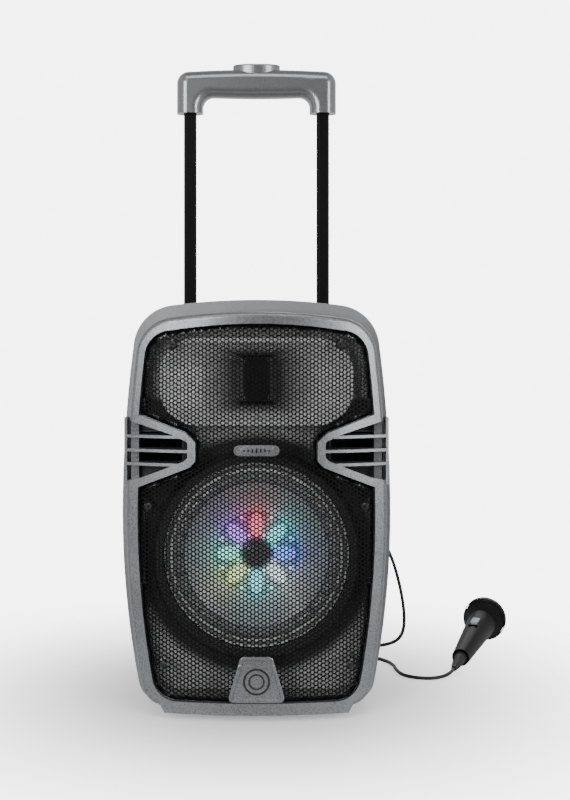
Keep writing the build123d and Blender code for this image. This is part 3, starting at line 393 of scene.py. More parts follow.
def from_woofer(tree):
    """The offset from the woofer's axis, square to it, and its length."""
    place = tree.nodes.new("ShaderNodeTexCoord").outputs["Object"]
    centred = tree.nodes.new("ShaderNodeVectorMath")
    centred.operation = "SUBTRACT"
    centred.inputs[1].default_value = (0, 0, WOOFER_Z * MM)
    tree.links.new(place, centred.inputs[0])
    flat = tree.nodes.new("ShaderNodeVectorMath")
    flat.operation = "MULTIPLY"
    flat.inputs[1].default_value = (1, 0, 1)
    tree.links.new(centred.outputs["Vector"], flat.inputs[0])
    far = tree.nodes.new("ShaderNodeVectorMath")
    far.operation = "LENGTH"
    tree.links.new(flat.outputs["Vector"], far.inputs[0])
    return flat.outputs["Vector"], far.outputs["Value"]


def lamp_color(tree, offset):
    """Colour by angle round the woofer's axis."""
    across = tree.nodes.new("ShaderNodeSeparateXYZ")
    tree.links.new(offset, across.inputs[0])
    angle = tree.nodes.new("ShaderNodeMath")
    angle.operation = "ARCTAN2"
    tree.links.new(across.outputs["Z"], angle.inputs[0])
    tree.links.new(across.outputs["X"], angle.inputs[1])
    share = remap(tree, angle.outputs[0], 0, 1, -math.pi, math.pi)
    ramp = tree.nodes.new("ShaderNodeValToRGB")
    ramp.color_ramp.interpolation = "EASE"
    count = len(LAMP_COLORS)
    while len(ramp.color_ramp.elements) < count + 1:
        ramp.color_ramp.elements.new(0.5)
    for step in range(count + 1):
        element = ramp.color_ramp.elements[step]
        element.position = step / count
        element.color = (*LAMP_COLORS[(step + count // 2) % count], 1)
    tree.links.new(share, ramp.inputs["Fac"])
    return ramp.outputs["Color"]


def lamp_glow(material, strengths):
    """Adds the lamp's light to a material as emission, a painted glow where the material is no lamp itself:
    strengths are (distance from the axis, strength) pairs.
    """
    tree = material.node_tree
    shader = shader_of(material)
    offset, distance = from_woofer(tree)
    falloff = tree.nodes.new("ShaderNodeFloatCurve")
    reach = strengths[-1][0]
    peak = max(strength for _, strength in strengths)
    curve = falloff.mapping.curves[0]
    for index, (radius, strength) in enumerate(strengths):
        spot = (radius / reach, strength / peak)
        if 0 < index < len(strengths) - 1:
            curve.points.new(*spot)
        else:
            curve.points[0 if index == 0 else -1].location = spot
    falloff.mapping.update()
    tree.links.new(remap(tree, distance, 0, 1, 0, reach), falloff.inputs["Value"])
    tree.links.new(remap(tree, falloff.outputs["Value"], 0, peak, 0, 1), shader.inputs["Emission Strength"])
    tree.links.new(lamp_color(tree, offset), shader.inputs["Emission Color"])


LOOKS = (  # name, maker, dark, light, roughness, then what its maker takes
    ("silver_paint", metallic_paint, (0.042, 0.045, 0.048), (0.09, 0.095, 0.1), 0.3, 1900.0, 600.0, 0.3, 0.7),
    ("shell_silver", metallic_paint, (0.15, 0.155, 0.16), (0.2, 0.206, 0.212), 0.36, 5000.0, 400.0),
    ("grip_silver", metallic_paint, (0.09, 0.096, 0.1), (0.13, 0.136, 0.14), 0.2, 6000.0, 300.0, 0.5),
    ("inner_black", moulded, (0.035, 0.035, 0.036), (0.05, 0.05, 0.051), 0.55, 0.4, 900.0),
    ("gloss_black", moulded, (0.01, 0.01, 0.011), (0.016, 0.016, 0.017), 0.16, 0.6, 300.0, 0.1),
    ("black_steel", moulded, (0.002, 0.002, 0.002), (0.004, 0.004, 0.004), 0.45, 0.1, 2500.0, 0.02),
    ("screw_steel", brushed_metal, (0.04, 0.04, 0.042), (0.1, 0.1, 0.105), 0.35),
    ("cone_silver", moulded, (0.5, 0.51, 0.53), (0.62, 0.63, 0.65), 0.3, 0.8, 700.0, 0.1),
    ("rubber_black", moulded, (0.012, 0.012, 0.012), (0.02, 0.02, 0.021), 0.5, 0.35, 2200.0, 0.3),
    ("spider_cloth", woven, (0.3, 0.17, 0.04), (0.6, 0.4, 0.14), 1.2 * MM),
    ("magnet_steel", brushed_metal, (0.25, 0.25, 0.26), (0.4, 0.4, 0.41), 0.4),
    ("circuit_green", moulded, (0.01, 0.09, 0.03), (0.02, 0.14, 0.05), 0.35, 0.5, 700.0, 0.3),
    ("battery_grey", moulded, (0.05, 0.055, 0.06), (0.08, 0.085, 0.09), 0.5),
    ("socket_metal", brushed_metal, (0.5, 0.5, 0.48), (0.72, 0.72, 0.7), 0.22),
    ("mic_black", moulded, (0.002, 0.0022, 0.003), (0.004, 0.0043, 0.005), 0.4, 0.07, 2600.0, 0.1),
    ("mesh_steel", brushed_metal, (0.03, 0.03, 0.031), (0.08, 0.08, 0.083), 0.32),
    ("switch_grey", moulded, (0.5, 0.51, 0.52), (0.6, 0.61, 0.62), 0.4),
    ("tyre_rubber", moulded, (0.012, 0.012, 0.012), (0.024, 0.024, 0.023), 0.75, 0.25, 1300.0, 0.5),
    ("tie_cloth", woven, (0.008, 0.008, 0.008), (0.03, 0.03, 0.031), 0.6 * MM),
    ("clear_lens", moulded, (0.5, 0.52, 0.55), (0.6, 0.62, 0.65), 0.12, 0.6, 200.0, 0.05),
)
FINISHES = {name: make(name, *look) for name, make, *look in LOOKS}


def radial_shade(material, shades):
    """Paints shade and highlights on a finish by distance from the woofer's axis: (distance, brightness)
    pairs.
    """
    tree = material.node_tree
    color = shader_of(material).inputs["Base Color"]
    source = color.links[0].from_socket
    _, distance = from_woofer(tree)
    ramp = tree.nodes.new("ShaderNodeValToRGB")
    reach = shades[-1][0]
    while len(ramp.color_ramp.elements) < len(shades):
        ramp.color_ramp.elements.new(0.5)
    for element, (radius, shade) in zip(ramp.color_ramp.elements, shades):
        element.position = radius / reach
        element.color = (shade, shade, shade, 1)
    tree.links.new(remap(tree, distance, 0, 1, 0, reach), ramp.inputs["Fac"])
    mix = tree.nodes.new("ShaderNodeMix")
    mix.data_type = "RGBA"
    mix.blend_type = "MULTIPLY"
    mix.inputs[0].default_value = 1
    tree.links.new(source, mix.inputs[6])
    tree.links.new(ramp.outputs["Color"], mix.inputs[7])
    tree.links.new(mix.outputs[2], color)


def shade_by(material, measure, dark_at, light_at):
    """Paints shade on a finish: darkens it to black towards one value of measure(x, y, z), a function that
    adds nodes.
    """
    tree = material.node_tree
    color = shader_of(material).inputs["Base Color"]
    source = color.links[0].from_socket
    place = tree.nodes.new("ShaderNodeSeparateXYZ")
    tree.links.new(tree.nodes.new("ShaderNodeTexCoord").outputs["Object"], place.inputs[0])
    share = remap(tree, measure(tree, *place.outputs), 0, 1, dark_at, light_at)
    tree.links.new(blend_colors(tree, share, (0.005, 0.005, 0.005), source), color)


def from_front(tree, x, y, z):
    return y


def from_vent(tree, x, y, z):
    """Distance from the nearer vent's middle."""
    aside = tree.nodes.new("ShaderNodeMath")
    aside.operation = "ABSOLUTE"
    tree.links.new(x, aside.inputs[0])
    place = tree.nodes.new("ShaderNodeCombineXYZ")
    tree.links.new(aside.outputs[0], place.inputs["X"])
    tree.links.new(z, place.inputs["Z"])
    far = tree.nodes.new("ShaderNodeVectorMath")
    far.operation = "DISTANCE"
    far.inputs[1].default_value = (0.112, 0, 0.269)
    tree.links.new(place.outputs["Vector"], far.inputs[0])
    return far.outputs["Value"]


BAFFLE_LOOK = moulded("baffle_grey", (0.5, 0.5, 0.505), (0.62, 0.62, 0.625), 0.45, 0.5, 800.0)
# painted shade: the baffle is darkened out to the recess round the woofer
radial_shade(BAFFLE_LOOK, ((0, 0.06), (0.118, 0.06), (0.128, 1.0), (0.4, 1.0)))
# painted shade: the baffle goes black behind the side vents
shade_by(BAFFLE_LOOK, from_vent, 0.05, 0.056)
# painted reflection: the glossy black horn gets a near-white grey under its real coat so that its flares look
# bright; painted shade darkens it towards the throat
HORN_PAINTED_LIGHT = moulded(
    "horn_painted_reflection", (0.86, 0.86, 0.865), (0.95, 0.95, 0.955), 0.3, 0.9, 200.0, 0.1, coat=1.0, coat_roughness=0.2
)
shade_by(HORN_PAINTED_LIGHT, from_front, -0.062, -0.086)
SURROUND_LOOK = moulded(
    "surround_grey", (0.26, 0.265, 0.27), (0.36, 0.365, 0.37), 0.2, 0.8, 900.0, 0.1, coat=0.9
)
BASKET_LOOK = moulded("basket_grey", (0.85, 0.86, 0.87), (0.95, 0.96, 0.97), 0.3, 0.7, 900.0, 0.2)
# painted highlights: two thin bright rings on the basket's rim, the rest of it darkened
BASKET_PAINTED_HIGHLIGHTS = (
    (0, 0.3), (0.0855, 0.3), (0.0862, 1.0), (0.088, 1.0),
    (0.089, 0.25), (0.092, 0.25), (0.0928, 1.0), (0.095, 1.0),
)
radial_shade(BASKET_LOOK, BASKET_PAINTED_HIGHLIGHTS)
THROAT_LOOK = moulded("throat_dark", (0.01, 0.01, 0.01), (0.02, 0.02, 0.02), 0.6, 0.1)
# painted light: the board round the petals glows with the lamp's spilt light, as emission
LAMP_BOARD_PAINTED_GLOW = moulded("lamp_board_painted_glow", (0.01, 0.04, 0.02), (0.02, 0.07, 0.035), 0.35, 0.5, 700.0)
lamp_glow(LAMP_BOARD_PAINTED_GLOW, ((0, 0.0), (0.012, 0.1), (0.026, 0.9), (0.043, 0.5)))
OWN_LOOKS = {
    "front_baffle": BAFFLE_LOOK,
    "horn_flare": HORN_PAINTED_LIGHT,
    "woofer_surround": SURROUND_LOOK,
    "woofer_basket": BASKET_LOOK,
    "woofer_screws": SURROUND_LOOK,
    "led_board": LAMP_BOARD_PAINTED_GLOW,
    "tweeter_driver": THROAT_LOOK,
}
shader_of(FINISHES["clear_lens"]).inputs["Alpha"].default_value = 0.16
shader_of(FINISHES["cone_silver"]).inputs["Coat Weight"].default_value = 0.7
# painted light: the lamp's coloured glow on the cone, as emission
lamp_glow(FINISHES["cone_silver"], ((0, 0), (0.035, 0.55), (0.052, 0.2), (0.074, 0.0)))


def paint(piece, material):
    piece.data.materials.clear()
    piece.data.materials.append(material)


SLOT_OF = {part["node"]: part["material_slot"] for part in frame["record"]["subparts"]}
for name, finish_name in SLOT_OF.items():
    for slot in NODES[name].material_slots:
        slot.material = OWN_LOOKS.get(name, FINISHES[finish_name])

paint(cord, FINISHES["rubber_black"])
PRINT = moulded("print_white", (0.6, 0.61, 0.62), (0.72, 0.73, 0.74), 0.45)

# ---------------------------------------------------------------- making pieces


def add_piece(name, shape, body, look, smooth=False):
    """Turns a bmesh into a piece that rides on a body, if one is named.

    Its look is the name of a slot or a material of its own.
    """
    bmesh.ops.recalc_face_normals(shape, faces=shape.faces)
    mesh = bpy.data.meshes.new(name)
    shape.to_mesh(mesh)
    shape.free()
    for polygon in mesh.polygons:
        polygon.use_smooth = smooth
    piece = bpy.data.objects.new(name, mesh)
    bpy.context.scene.collection.objects.link(piece)
    if isinstance(look, str):
        paint(piece, FINISHES[look])
    else:
        paint(piece, look)
    if body:
        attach(piece, body)
    return piece


def apply_modifiers(piece):
    """Replaces a piece's mesh with what its modifiers make of it."""
    graph = bpy.context.evaluated_depsgraph_get()
    made = bpy.data.meshes.new_from_object(piece.evaluated_get(graph))
    piece.modifiers.clear()
    piece.data = made


def axes(right, up, out, origin):
    """A frame at an origin (in millimetres) with its X, Y and Z along three directions."""
    turn = Matrix((right, up, out)).transposed().to_4x4()
    return Matrix.Translation(Vector(origin) * MM) @ turn @ Matrix.Scale(MM, 4)


def on_front(x, y, z):
    """A frame in millimetres that faces the viewer: X right, Y up, Z towards the viewer."""
    return axes((1, 0, 0), (0, 0, 1), (0, -1, 0), (x, y, z))


def on_back(x, y, z):
    """A frame in millimetres that faces backward: X right as seen from behind, Y up, Z outward."""
    return axes((-1, 0, 0), (0, 0, 1), (0, 1, 0), (x, y, z))


def skin(shape, rings, closed=False):
    """Joins loops of corners by bands of faces and, unless the last loop meets the first, caps both ends."""
    following = rings[1:] + rings[:1] if closed else rings[1:]
    count = len(rings[0])
    for before, after in zip(rings, following):
        for step in range(count):
            ahead = (step + 1) % count
            shape.faces.new((before[step], before[ahead], after[ahead], after[step]))
    if not closed:
        shape.faces.new(rings[0])
        shape.faces.new(rings[-1])


def lathe(shape, profile, place, steps=96, ripple=None, closed=False):
    """Turns (distance along, radius) points about a frame's Z axis.

    ripple(step, index) changes a point's radius. A closed profile goes back to its first point.
    Any other one is capped at both ends.
    """
    rings = []
    for index, (distance, radius) in enumerate(profile):
        ring = []
        for step in range(steps):
            angle = 2 * math.pi * step / steps
            width = radius + (ripple(step, index) if ripple else 0)
            spot = Vector((width * math.cos(angle), width * math.sin(angle), distance))
            ring.append(shape.verts.new(place @ spot))
        rings.append(ring)
    skin(shape, rings, closed)


def ellipse(x, y, half_wide, half_high, turn=0.0, steps=32):
    """Points of an ellipse about (x, y), turned by an angle."""
    points = []
    for step in range(steps):
        angle = 2 * math.pi * step / steps
        across, up = half_wide * math.cos(angle), half_high * math.sin(angle)
        points.append((
            x + across * math.cos(turn) - up * math.sin(turn),
            y + across * math.sin(turn) + up * math.cos(turn),
        ))
    return points


def bar(x, y, wide, high):
    """Corners of a rectangle about (x, y)."""
    across, up = wide / 2, high / 2
    return [(x - across, y - up), (x + across, y - up), (x + across, y + up), (x - across, y + up)]


def prism(shape, outline, place, low, high):
    """A straight block with an outline of (x, y) points in a frame, from z = low to z = high."""
    skin(shape, [[shape.verts.new(place @ Vector((x, y, z))) for x, y in outline] for z in (low, high)])


# ---------------------------------------------------------------- grille
BOW_AXIS_Y = 252 * MM  # the front is bowed about an upright axis this far back
GRILLE_R = 367 * MM
HOLE_ACROSS = 3.1 * MM
COLUMN_PITCH = 3.75 * MM
ROW_PITCH = 4.4 * MM
HOLE_MARGIN = 0.7 * MM  # the steel left outside the outermost holes
FOLD_R = 3.0 * MM
SHEET = 0.9 * MM
SCREW_LAND = 4.4 * MM  # no hole comes nearer to a screw's middle


def flat_loops(node, radius):
    """The edges of a node's outer bowed face, unrolled flat, as closed loops, the longest first."""
    mesh = NODES[node].data

    def flat(index):
        x, y, z = mesh.vertices[index].co
        return (round(radius * math.atan2(x, BOW_AXIS_Y - y), 6), round(z, 6))

    def outer(index):
        x, y, _ = mesh.vertices[index].co
        return abs(math.hypot(x, y - BOW_AXIS_Y) - radius) < 0.04 * MM

    links = {}
    for polygon in mesh.polygons:
        corners = list(polygon.vertices)
        if not all(outer(index) for index in corners):
            continue
        for first, second in zip(corners, corners[1:] + corners[:1]):
            edge = (flat(first), flat(second))
            if (edge[1], edge[0]) in links:
                del links[(edge[1], edge[0])]
            else:
                links[edge] = True
    following = dict(links.keys())
    loops = []
    while following:
        start, here = following.popitem()
        loop = [start]
        while here != start:
            loop.append(here)
            here = following.pop(here)
        loops.append(loop)
    return sorted(loops, key=len, reverse=True)


def edge_distance(points, loop):
    """Each point's distance to a closed loop, positive inside it."""
    ends = np.array(loop)
    starts = np.roll(ends, 1, axis=0)
    spans = ends - starts
    points = np.array(points)
    offsets = points[:, None, :] - starts[None]
    share = np.clip((offsets * spans).sum(2) / np.maximum((spans**2).sum(1), 1e-18), 0, 1)
    gaps = np.linalg.norm(offsets - share[..., None] * spans[None], axis=2).min(1)
    above = (starts[None, :, 1] > points[:, None, 1]) != (ends[None, :, 1] > points[:, None, 1])
    rise = np.where(np.abs(spans[:, 1]) < 1e-12, 1e-12, spans[:, 1])
    crossing = starts[:, 0] + (points[:, None, 1] - starts[:, 1]) * spans[:, 0] / rise
    inside = (above & (points[:, None, 0] < crossing)).sum(1) % 2 == 1
    return np.where(inside, gaps, -gaps)


def on_bow(u, z, radius):
    """A point of the bowed front at a distance u round it from the middle."""
    angle = u / GRILLE_R
    return Vector((radius * math.sin(angle), BOW_AXIS_Y - radius * math.cos(angle), z))


def bowed_panel(name, outline, holes, radius_at, thickness, slot, extra=()):
    """A bowed panel with holes and extra corners. radius_at(points) gives its outer radius."""
    verts, edges, owners = [], [], []
    for owner, loop in enumerate([outline, *holes]):
        first, count = len(verts), len(loop)
        verts += [Vector(point) for point in loop]
        owners += [owner] * count
        edges += [(first + step, first + (step + 1) % count) for step in range(count)]
    verts += [Vector(point) for point in extra]
    owners += [0] * len(extra)
    made, _, triangles, origins, *_ = delaunay_2d_cdt(verts, edges, [], 1, 1e-8)
    owner_of = [owners[origin[0]] for origin in origins]
    shape = bmesh.new()
    corners = [
        shape.verts.new(on_bow(point.x, point.y, radius)) for point, radius in zip(made, radius_at(made))
    ]
    for triangle in triangles:
        met = {owner_of[index] for index in triangle}
        if len(met) > 1 or met == {0}:
            shape.faces.new([corners[index] for index in triangle])
    piece = add_piece(name, shape, "cabinet", slot)
    if piece.data.polygons[0].normal.y > 0:
        piece.data.flip_normals()
    solid = piece.modifiers.new("thickness", "SOLIDIFY")
    solid.thickness = thickness
    solid.offset = -1
    apply_modifiers(piece)
    return piece


def add_grille():
    """The perforated steel sheet, rounded back at its edge, in place of the plain CAD sheet."""
    outline, *screw_holes = flat_loops("grille", GRILLE_R)
    screws = [np.mean(loop, axis=0) for loop in screw_holes]
    low, high = np.min(outline, axis=0), np.max(outline, axis=0)
    columns = int(high[0] // COLUMN_PITCH)
    centres = []
    for column in range(-columns, columns + 1):
        start = low[1] + (ROW_PITCH / 2 if column % 2 else 0)
        rows = int((high[1] - start) / ROW_PITCH)
        centres += [(column * COLUMN_PITCH, start + ROW_PITCH * row) for row in range(rows + 1)]
    corner_r = HOLE_ACROSS / math.sqrt(3)
    inside = edge_distance(centres, outline) > corner_r + HOLE_MARGIN
    holes = [
        ellipse(*centre, corner_r, corner_r, steps=6)
        for centre, fits in zip(centres, inside)
        if fits and all(math.dist(centre, screw) > SCREW_LAND for screw in screws)
    ]

    def radius_at(points):
        depths = np.maximum(FOLD_R - np.maximum(edge_distance(points, outline), 0), 0)
        return GRILLE_R - (FOLD_R - np.sqrt(FOLD_R**2 - depths**2))

    sheet = bowed_panel("grille_sheet", outline, screw_holes + holes, radius_at, SHEET, "black_steel")
    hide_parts("grille")


add_grille()

# ---------------------------------------------------------------- emblem plate and badge
EMBLEM_FRONT_R = 370.78 * MM
EMBLEM_BACK_R = 367.3 * MM
EMBLEM_CENTRE = (0, 40 * MM)
BADGE_FRONT_R = 369.8 * MM
BADGE_Z = 271 * MM


def grid(low, high, spacing):
    across = np.arange(low[0], high[0], spacing)
    up = np.arange(low[1], high[1], spacing)
    return [(x, y) for x in across for y in up]


def inset(loop, distance):
    """A closed counter-clockwise loop moved inward."""
    count = len(loop)
    moved = []
    for index in range(count):
        run = (Vector(loop[(index + 1) % count]) - Vector(loop[index - 1])).normalized()
        moved.append((loop[index][0] - run.y * distance, loop[index][1] + run.x * distance))
    return moved


def rounded(corners, radius, steps=10):
    """A polygon's counter-clockwise (x, y) corners, each rounded, and its long sides cut into short runs."""
    points = []
    for before, here, after in zip(corners[-1:] + corners[:-1], corners, corners[1:] + corners[:1]):
        back = (Vector(before) - Vector(here)).normalized()
        ahead = (Vector(after) - Vector(here)).normalized()
        half = back.angle(ahead) / 2
        middle = Vector(here) + (back + ahead).normalized() * radius / math.sin(half)
        first = math.atan2(back.x, -back.y)  # faces out of the side before the corner
        for step in range(steps + 1):
            angle = first + (math.pi - 2 * half) * step / steps
            points.append((middle.x + radius * math.cos(angle), middle.y + radius * math.sin(angle)))
    filled = []
    for here, after in zip(points, points[1:] + points[:1]):
        runs = max(1, int(math.dist(here, after) / (3 * MM)))
        filled += [tuple(Vector(here).lerp(Vector(after), run / runs)) for run in range(runs)]
    return filled


def add_emblem():
    """The plate at the foot of the grille: a rounded edge, an engraved border and a ring emblem."""
    edge = [(-29.5 * MM, 18.6 * MM), (29.5 * MM, 18.6 * MM), (16 * MM, 65 * MM), (-16 * MM, 65 * MM)]
    outline = rounded(edge, 5 * MM)
    steps = (  # distance from the edge, depth
        (0, 0.9), (0.5, 0.25), (1.0, 0), (3.2, 0), (3.5, 0.6), (4.1, 0.6), (4.4, 0.1),
    )
    rings = (  # radius, depth
        (6.2, 0.1), (6.6, 0.6), (7.9, 0.6), (8.2, 0.1), (11.3, 0.1), (11.6, 0.6), (13.3, 0.6), (13.6, 0.1),
    )

    def circle(radius):
        return ellipse(*EMBLEM_CENTRE, radius * MM, radius * MM, steps=64)

    extra = [point for distance, _ in steps[1:] for point in inset(outline, distance * MM)]
    extra += [point for radius, _ in reversed(rings) for point in circle(radius)]
    extra += [
        point for point in grid((-30 * MM, 18 * MM), (30 * MM, 65 * MM), 3 * MM)
        if not 5.5 * MM <= math.dist(point, EMBLEM_CENTRE) <= 14.5 * MM
    ]
    extra = [point for point, gap in zip(extra, edge_distance(extra, outline)) if gap > 0.2 * MM]

    def radius_at(points):
        gaps = edge_distance(points, outline) / MM
        spans = np.linalg.norm(np.array(points) - np.array(EMBLEM_CENTRE), axis=1) / MM
        border = np.interp(gaps, *zip(*steps))
        emblem = np.interp(spans, *zip(*rings))
        return EMBLEM_FRONT_R - np.where(spans < 14, emblem, border) * MM

    plate = bowed_panel("emblem", outline, [], radius_at, EMBLEM_FRONT_R - EMBLEM_BACK_R - 0.9 * MM,
                        "silver_paint", extra)
    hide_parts("emblem_plate")

    def ring_radius_at(points):
        return [EMBLEM_FRONT_R - 0.3 * MM] * len(points)

    for inner, outer in ((11.7, 13.2), (6.7, 7.8)):
        name = f"emblem_ring_{outer:.0f}"
        bowed_panel(name, circle(outer), [circle(inner)], ring_radius_at, 0.4 * MM, "gloss_black")


def add_badge():
    """The badge on the grille: a pill with an engraved rim line and seven level bars."""
    half = 17.5 * MM
    turns = np.linspace(-math.pi / 2, math.pi / 2, 17)
    end = [(math.cos(turn) * 5.5 * MM, math.sin(turn) * 5.5 * MM) for turn in turns]
    outline = [(half + x, BADGE_Z + y) for x, y in end] + [(-half - x, BADGE_Z - y) for x, y in end]
    steps = ((0, 0.8), (0.4, 0.2), (0.8, 0), (1.5, 0), (1.7, 0.3), (2.0, 0.3), (2.2, 0))  # from edge, depth
    extra = [point for distance, _ in steps[1:] for point in inset(outline, distance * MM)]
    extra += grid((-22 * MM, BADGE_Z - 4 * MM), (22 * MM, BADGE_Z + 4 * MM), 2.5 * MM)
    extra = [point for point, gap in zip(extra, edge_distance(extra, outline)) if gap > 0.2 * MM]

    def radius_at(points):
        gaps = edge_distance(points, outline) / MM
        return BADGE_FRONT_R - np.interp(gaps, *zip(*steps)) * MM

    badge = bowed_panel("badge", outline, [], radius_at, 1.6 * MM, "silver_paint", extra)
    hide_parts("name_badge")
    shape = bmesh.new()
    for step in range(-3, 4):
        high = 1.6 + 0.99 * (3 - abs(step))
        x = 4.2 * step
        y = (BOW_AXIS_Y - math.sqrt(BADGE_FRONT_R**2 - (x * MM) ** 2)) / MM
        prism(shape, bar(0, 0, 1.6, high), on_front(x, y, BADGE_Z / MM), -0.5, 0.12)
    add_piece("badge_bars", shape, "cabinet", "gloss_black")


add_emblem()
add_badge()

# ---------------------------------------------------------------- screws' cross recesses, as painted shade
GRILLE_SCREWS = ((84.5, 377), (109.5, 213), (94, 54))
SHELL_SCREWS = ((102, 110), (104, 203), (100, 330), (40, 62), (40, 384))
SHELL_HEAD_Y = 120.0
PANEL_SCREWS = ((40, 197), (40, 349))
PANEL_HEAD_Y = 122.5


def add_crosses():
    """A gloss black cross on each visible screw head, on both sides of the middle: painted shade of its cross
    recess.
    """
    front, back = bmesh.new(), bmesh.new()
    for x, z in GRILLE_SCREWS:
        y = BOW_AXIS_Y / MM - math.sqrt((GRILLE_R / MM) ** 2 - (x - 3.8) ** 2) - 2.3
        for side in (-1, 1):
            for outline in (bar(0, 0, 3.4, 0.9), bar(0, 0, 0.9, 3.4)):
                prism(front, outline, on_front(side * x, y, z), -0.5, 0.06)
    for y, screws in ((SHELL_HEAD_Y, SHELL_SCREWS), (PANEL_HEAD_Y, PANEL_SCREWS)):
        for x, z in screws:
            for side in (-1, 1):
                for outline in (bar(0, 0, 4.0, 1.0), bar(0, 0, 1.0, 4.0)):
                    prism(back, outline, on_back(side * x, y, z), -0.5, 0.06)
    add_piece("grille_screw_crosses", front, "cabinet", "gloss_black")
    add_piece("back_screw_crosses", back, "cabinet", "gloss_black")


add_crosses()

# ---------------------------------------------------------------- woofer's lamp


def add_lamp():
    """Eight lit petals and a ring of small ones on the board, round a dark cap."""
    petals = bmesh.new()
    place = on_front(0, -73.2, WOOFER_Z)
    for step in range(8):
        turn = 2 * math.pi * step / 8
        prism(petals, ellipse(29 * math.cos(turn), 29 * math.sin(turn), 12, 7, turn), place, 0, 0.8)
        turn += math.pi / 8
        prism(petals, ellipse(19.5 * math.cos(turn), 19.5 * math.sin(turn), 3.6, 2.4, turn), place, 0, 0.8)
        prism(petals, ellipse(39 * math.cos(turn), 39 * math.sin(turn), 2.6, 2.6, turn), place, 0, 0.8)
    light = moulded("lamp_light", (0.3, 0.3, 0.3), (0.5, 0.5, 0.5), 0.3)
    lamp_glow(light, ((0, 0), (0.014, 1.6), (0.028, 2.4), (0.045, 0.8)))
    add_piece("lamp_petals", petals, "cabinet", light)
    cap = bmesh.new()
    lathe(cap, [(0, 12.8), (3.5, 12.8), (4.6, 11.6), (5.2, 9), (4.4, 8), (5.4, 3), (5.6, 0.4)], place, 48)
    add_piece("lamp_cap", cap, "cabinet", "gloss_black")


add_lamp()

# ---------------------------------------------------------------- woofer's soft rings
SOFT_SECTORS = 24
SECTOR_STEPS = 4


def add_soft_ring(node, loop, look):
    """A ring that gives between the moving cone, at its inner edge, and the fixed basket, at its outer edge.

    loop is its closed (y, radius) section. The ring is made in sectors.
    """
    place = axes((1, 0, 0), (0, 0, -1), (0, 1, 0), (0, 0, WOOFER_Z))
    steps = SOFT_SECTORS * SECTOR_STEPS
    for sector in range(SOFT_SECTORS):
        shape = bmesh.new()
        rings = []
        for step in range(SECTOR_STEPS + 1):
            turn = 2 * math.pi * (sector * SECTOR_STEPS + step) / steps
            rings.append([
                shape.verts.new(place @ Vector((radius * math.cos(turn), radius * math.sin(turn), y)))
                for y, radius in loop
            ])
        skin(shape, rings)
        piece = add_piece(f"{node}_{sector:02d}", shape, None, look, smooth=True)
        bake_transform(piece)
        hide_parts(node)


def surround_section():
    """The rolled surround: two glued lips and a half-round roll between them."""
    turns = [math.pi * step / 14 for step in range(15)]
    outside = [(-83.5 - 5 * math.sin(turn), 80.2 + 4.8 * math.cos(turn)) for turn in turns]
    inside = [(-82.6 - 4.7 * math.sin(turn), 80.2 + 3.9 * math.cos(turn)) for turn in reversed(turns)]
    return [(-82.6, 85.8), (-83.5, 85.8), *outside, (-83.5, 74.2), (-82.6, 74.2), *inside]


def spider_section():
    """The corrugated cloth disc behind the cone."""
    waves = []
    for step in range(57):
        swing = 0.9 * math.sin(math.pi * step / 4) if 4 < step < 52 else 0
        waves.append((-43.6 + swing, 14.6 + 40.6 * step / 56))
    return [(y + 0.25, radius) for y, radius in waves] + [(y - 0.25, radius) for y, radius in reversed(waves)]


add_soft_ring("woofer_surround", surround_section(), SURROUND_LOOK)
add_soft_ring("woofer_spider", spider_section(), "spider_cloth")

# ---------------------------------------------------------------- wheels
TYRE_PROFILE = (
    (-10, 22.2), (-10, 25), (-9.4, 27.6), (-8, 29.2), (-6.5, 30), (-2.2, 30), (-1.8, 28.9),
    (1.8, 28.9), (2.2, 30), (6.5, 30), (8, 29.2), (9.4, 27.6), (10, 25), (10, 22.2),
)


def tread(step, index):
    """Grooves across the tread on both shoulders, offset from side to side."""
    if index in (3, 4, 5):
        return -1.1 if step % 6 < 2 else 0
    if index in (8, 9, 10):
        return -1.1 if (step + 3) % 6 < 2 else 0
    return 0


def add_tyres():
    for side, name in ((-1, "left"), (1, "right")):
        place = axes((0, 1, 0), (0, 0, 1), (1, 0, 0), (side * 94, 94, 30))
        shape = bmesh.new()
        lathe(shape, TYRE_PROFILE, place, 144, tread, closed=True)
        tyre = add_piece(f"tread_{name}", shape, f"wheel_{name}", "tyre_rubber")
        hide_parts(f"wheel_tyre_{name}")


add_tyres()

# ---------------------------------------------------------------- control panel
PANEL_Y = 120.5
KNOBS = (("volume_knob", -34), ("echo_knob", 0), ("mic_volume_knob", 34))
KNOB_Z = 266
BUTTON_Y = 122.5
BUTTON_Z = 314
DISPLAY_Y = 120.9
DISPLAY_Z = 338
SEGMENTS = (  # x, y, wide and high of a digit's seven bars
    (0, 3.6, 3, 0.8), (0, 0, 3, 0.8), (0, -3.6, 3, 0.8),
    (-1.8, 1.8, 0.8, 2.9), (1.8, 1.8, 0.8, 2.9), (-1.8, -1.8, 0.8, 2.9), (1.8, -1.8, 0.8, 2.9),
)
DIGITS_X = (-14, -7, 3, 10)
KNOB_PROFILE = (
    (1, 3), (1, 9.4), (2.2, 9.2), (3, 8.3), (13, 7.5), (14.2, 7.3), (15, 6.4), (14.7, 5.6), (14.7, 0.3),
)
SHAFT_PROFILE = ((-16, 0.4), (-16, 3), (1.2, 3), (1.2, 0.4))


def ribs(step, index):
    """Grooves along a knob's side."""
    return -0.45 if index in (3, 4) and step % 4 < 2 else 0


def add_knobs():
    for node, x in KNOBS:
        place = axes((1, 0, 0), (0, 0, -1), (0, 1, 0), (x, PANEL_Y, KNOB_Z))
        shape = bmesh.new()
        lathe(shape, KNOB_PROFILE, place, 72, ribs)
        lathe(shape, SHAFT_PROFILE, place, 24)
        knob = add_piece(f"{node}_ribbed", shape, node, SLOT_OF[node])
        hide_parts(node)
        pointer = bmesh.new()
        prism(pointer, bar(0, 3.6, 1.1, 5.6), on_back(x, PANEL_Y, KNOB_Z), 14, 15.5)
        add_piece(f"{node}_pointer", pointer, node, PRINT)


